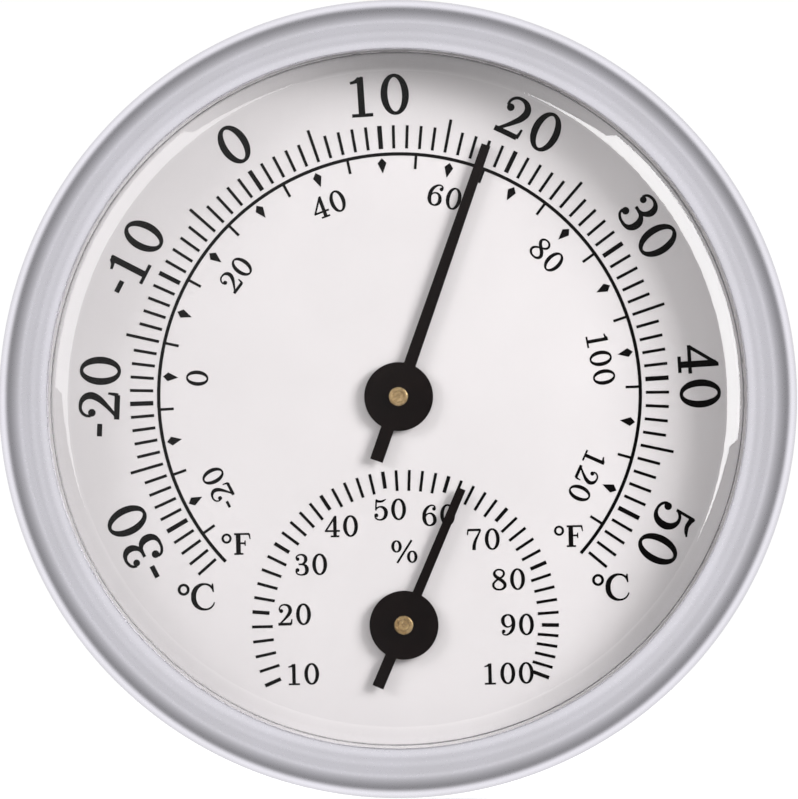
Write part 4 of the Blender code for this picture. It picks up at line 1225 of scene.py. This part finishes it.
def makeTent():
    world = bpy.data.worlds.new("white_tent")
    scene.world = world
    world.use_nodes = True
    tree = world.node_tree
    tree.nodes.clear()
    direction = addNode(tree, "TexCoord").outputs["Generated"]
    parts = addNode(tree, "SeparateXYZ", {0: direction})
    share = addNode(tree, "MapRange", {"Value": parts.outputs["Y"], "From Min": -1.0, "From Max": 1.0})
    ramp = addNode(tree, "ValToRGB", {"Fac": share.outputs["Result"]})
    stops = ramp.color_ramp.elements
    stops[0].position, stops[1].position = studio["tent"][0][0], studio["tent"][-1][0]
    for position, _ in studio["tent"][1:-1]:
        stops.new(position)
    for stop, (position, level) in zip(stops, studio["tent"]):
        stop.color = (level, level, level, 1.0)
    light = addNode(tree, "Background", {
        "Color": ramp.outputs["Color"], "Strength": studio["tentStrength"],
    })
    # plain white paper where the tent is looked at directly
    paper = addNode(tree, "Background", {
        "Color": (1.0, 1.0, 1.0, 1.0), "Strength": studio["paperGlow"],
    })
    path = addNode(tree, "LightPath")
    seen = addNode(tree, "MixShader", {
        "Fac": path.outputs["Is Camera Ray"], 1: light.outputs["Background"],
        2: paper.outputs["Background"],
    })
    addNode(tree, "OutputWorld", {"Surface": seen.outputs["Shader"]})


def makeFloor():
    shape = bmesh.new()
    bmesh.ops.create_circle(shape, cap_ends=True, segments=64, radius=studio["floorSize"])
    bmesh.ops.translate(shape, verts=shape.verts, vec=(0.0, 0.0, cadBox[0].z - studio["floorDrop"]))
    mesh = bpy.data.meshes.new("light_table")
    shape.to_mesh(mesh)
    shape.free()
    floor = bpy.data.objects.new("light_table", mesh)
    scene.collection.objects.link(floor)
    material, tree = newTree("frosted_white_sheet")
    colour = linearColour(studio["floorColour"])
    shader = addNode(tree, "BsdfPrincipled", {
        "Base Color": colour, "Roughness": studio["floorRough"],
        "Emission Color": colour, "Emission Strength": studio["floorGlow"],
    })
    addNode(tree, "OutputMaterial", {"Surface": shader.outputs["BSDF"]})
    mesh.materials.append(material)
    # the sheet shows only itself, so the bezel's bands of light stay even all the way round
    floor.visible_glossy = floor.visible_diffuse = floor.visible_transmission = False
    floor.visible_shadow = False


def addLamp(look):
    # a rectangular soft box; its first side lies along the slant
    bearing, slant = math.radians(look["bearing"]), math.radians(look["slant"])
    towards = Vector((
        math.sin(slant) * math.sin(bearing), -math.cos(slant), math.sin(slant) * math.cos(bearing),
    ))
    lamp = bpy.data.lights.new(look["name"], "AREA")
    lamp.energy = look["watts"]
    lamp.shape = "RECTANGLE"
    lamp.size, lamp.size_y = look["size"]
    item = bpy.data.objects.new(look["name"], lamp)
    scene.collection.objects.link(item)
    across = Vector((math.cos(bearing), 0.0, -math.sin(bearing)))
    along = across.cross(towards)
    item.matrix_world = Matrix.Translation(Vector(studio["aim"]) + towards * look["distance"]) @ Matrix(
        (along, across, towards)
    ).transposed().to_4x4()
    return item


def litOnly(lamp, pieces):
    group = bpy.data.collections.new(lamp.name + "_targets")
    for piece in pieces:
        group.objects.link(piece)
    lamp.light_linking.receiver_collection = group


def litExcept(lamp, pieces):
    litOnly(lamp, pieces)
    for entry in lamp.light_linking.receiver_collection.collection_objects:
        entry.light_linking.link_state = "EXCLUDE"


def makeCamera():
    data = bpy.data.cameras.new("camera")
    data.sensor_width = camera["sensor"]
    data.lens = camera["sensor"] * camera["distance"] / camera["frameWidth"]
    data.clip_start, data.clip_end = camera["clip"]
    item = bpy.data.objects.new("camera", data)
    scene.collection.objects.link(item)
    across, up = math.radians(camera["azimuth"]), math.radians(camera["elevation"])
    back = Vector((math.sin(across) * math.cos(up), -math.cos(across) * math.cos(up), math.sin(up)))
    item.location = Vector((0.0, -camera["depth"], 0.0)) + back * camera["distance"]
    look = (-back).to_track_quat("-Z", "Y").to_matrix().to_4x4()
    roll = Matrix.Rotation(-math.radians(camera["roll"]), 4, "Z")
    item.rotation_euler = (look @ roll).to_euler()
    scene.camera = item


makeTent()
makeFloor()
for look in studio["keyLights"]:
    litExcept(addLamp(look), [bezelPiece, lensPiece])
for look in studio["lensBoxes"]:
    box = addLamp(look)
    box.visible_diffuse = box.visible_transmission = False
    litOnly(box, [lensPiece])
crown = addLamp(studio["crownLamp"])
crown.visible_camera = crown.visible_diffuse = crown.visible_transmission = False
litOnly(crown, [bezelPiece])
makeCamera()
scene.view_settings.view_transform = "Standard"
print("studio ready")
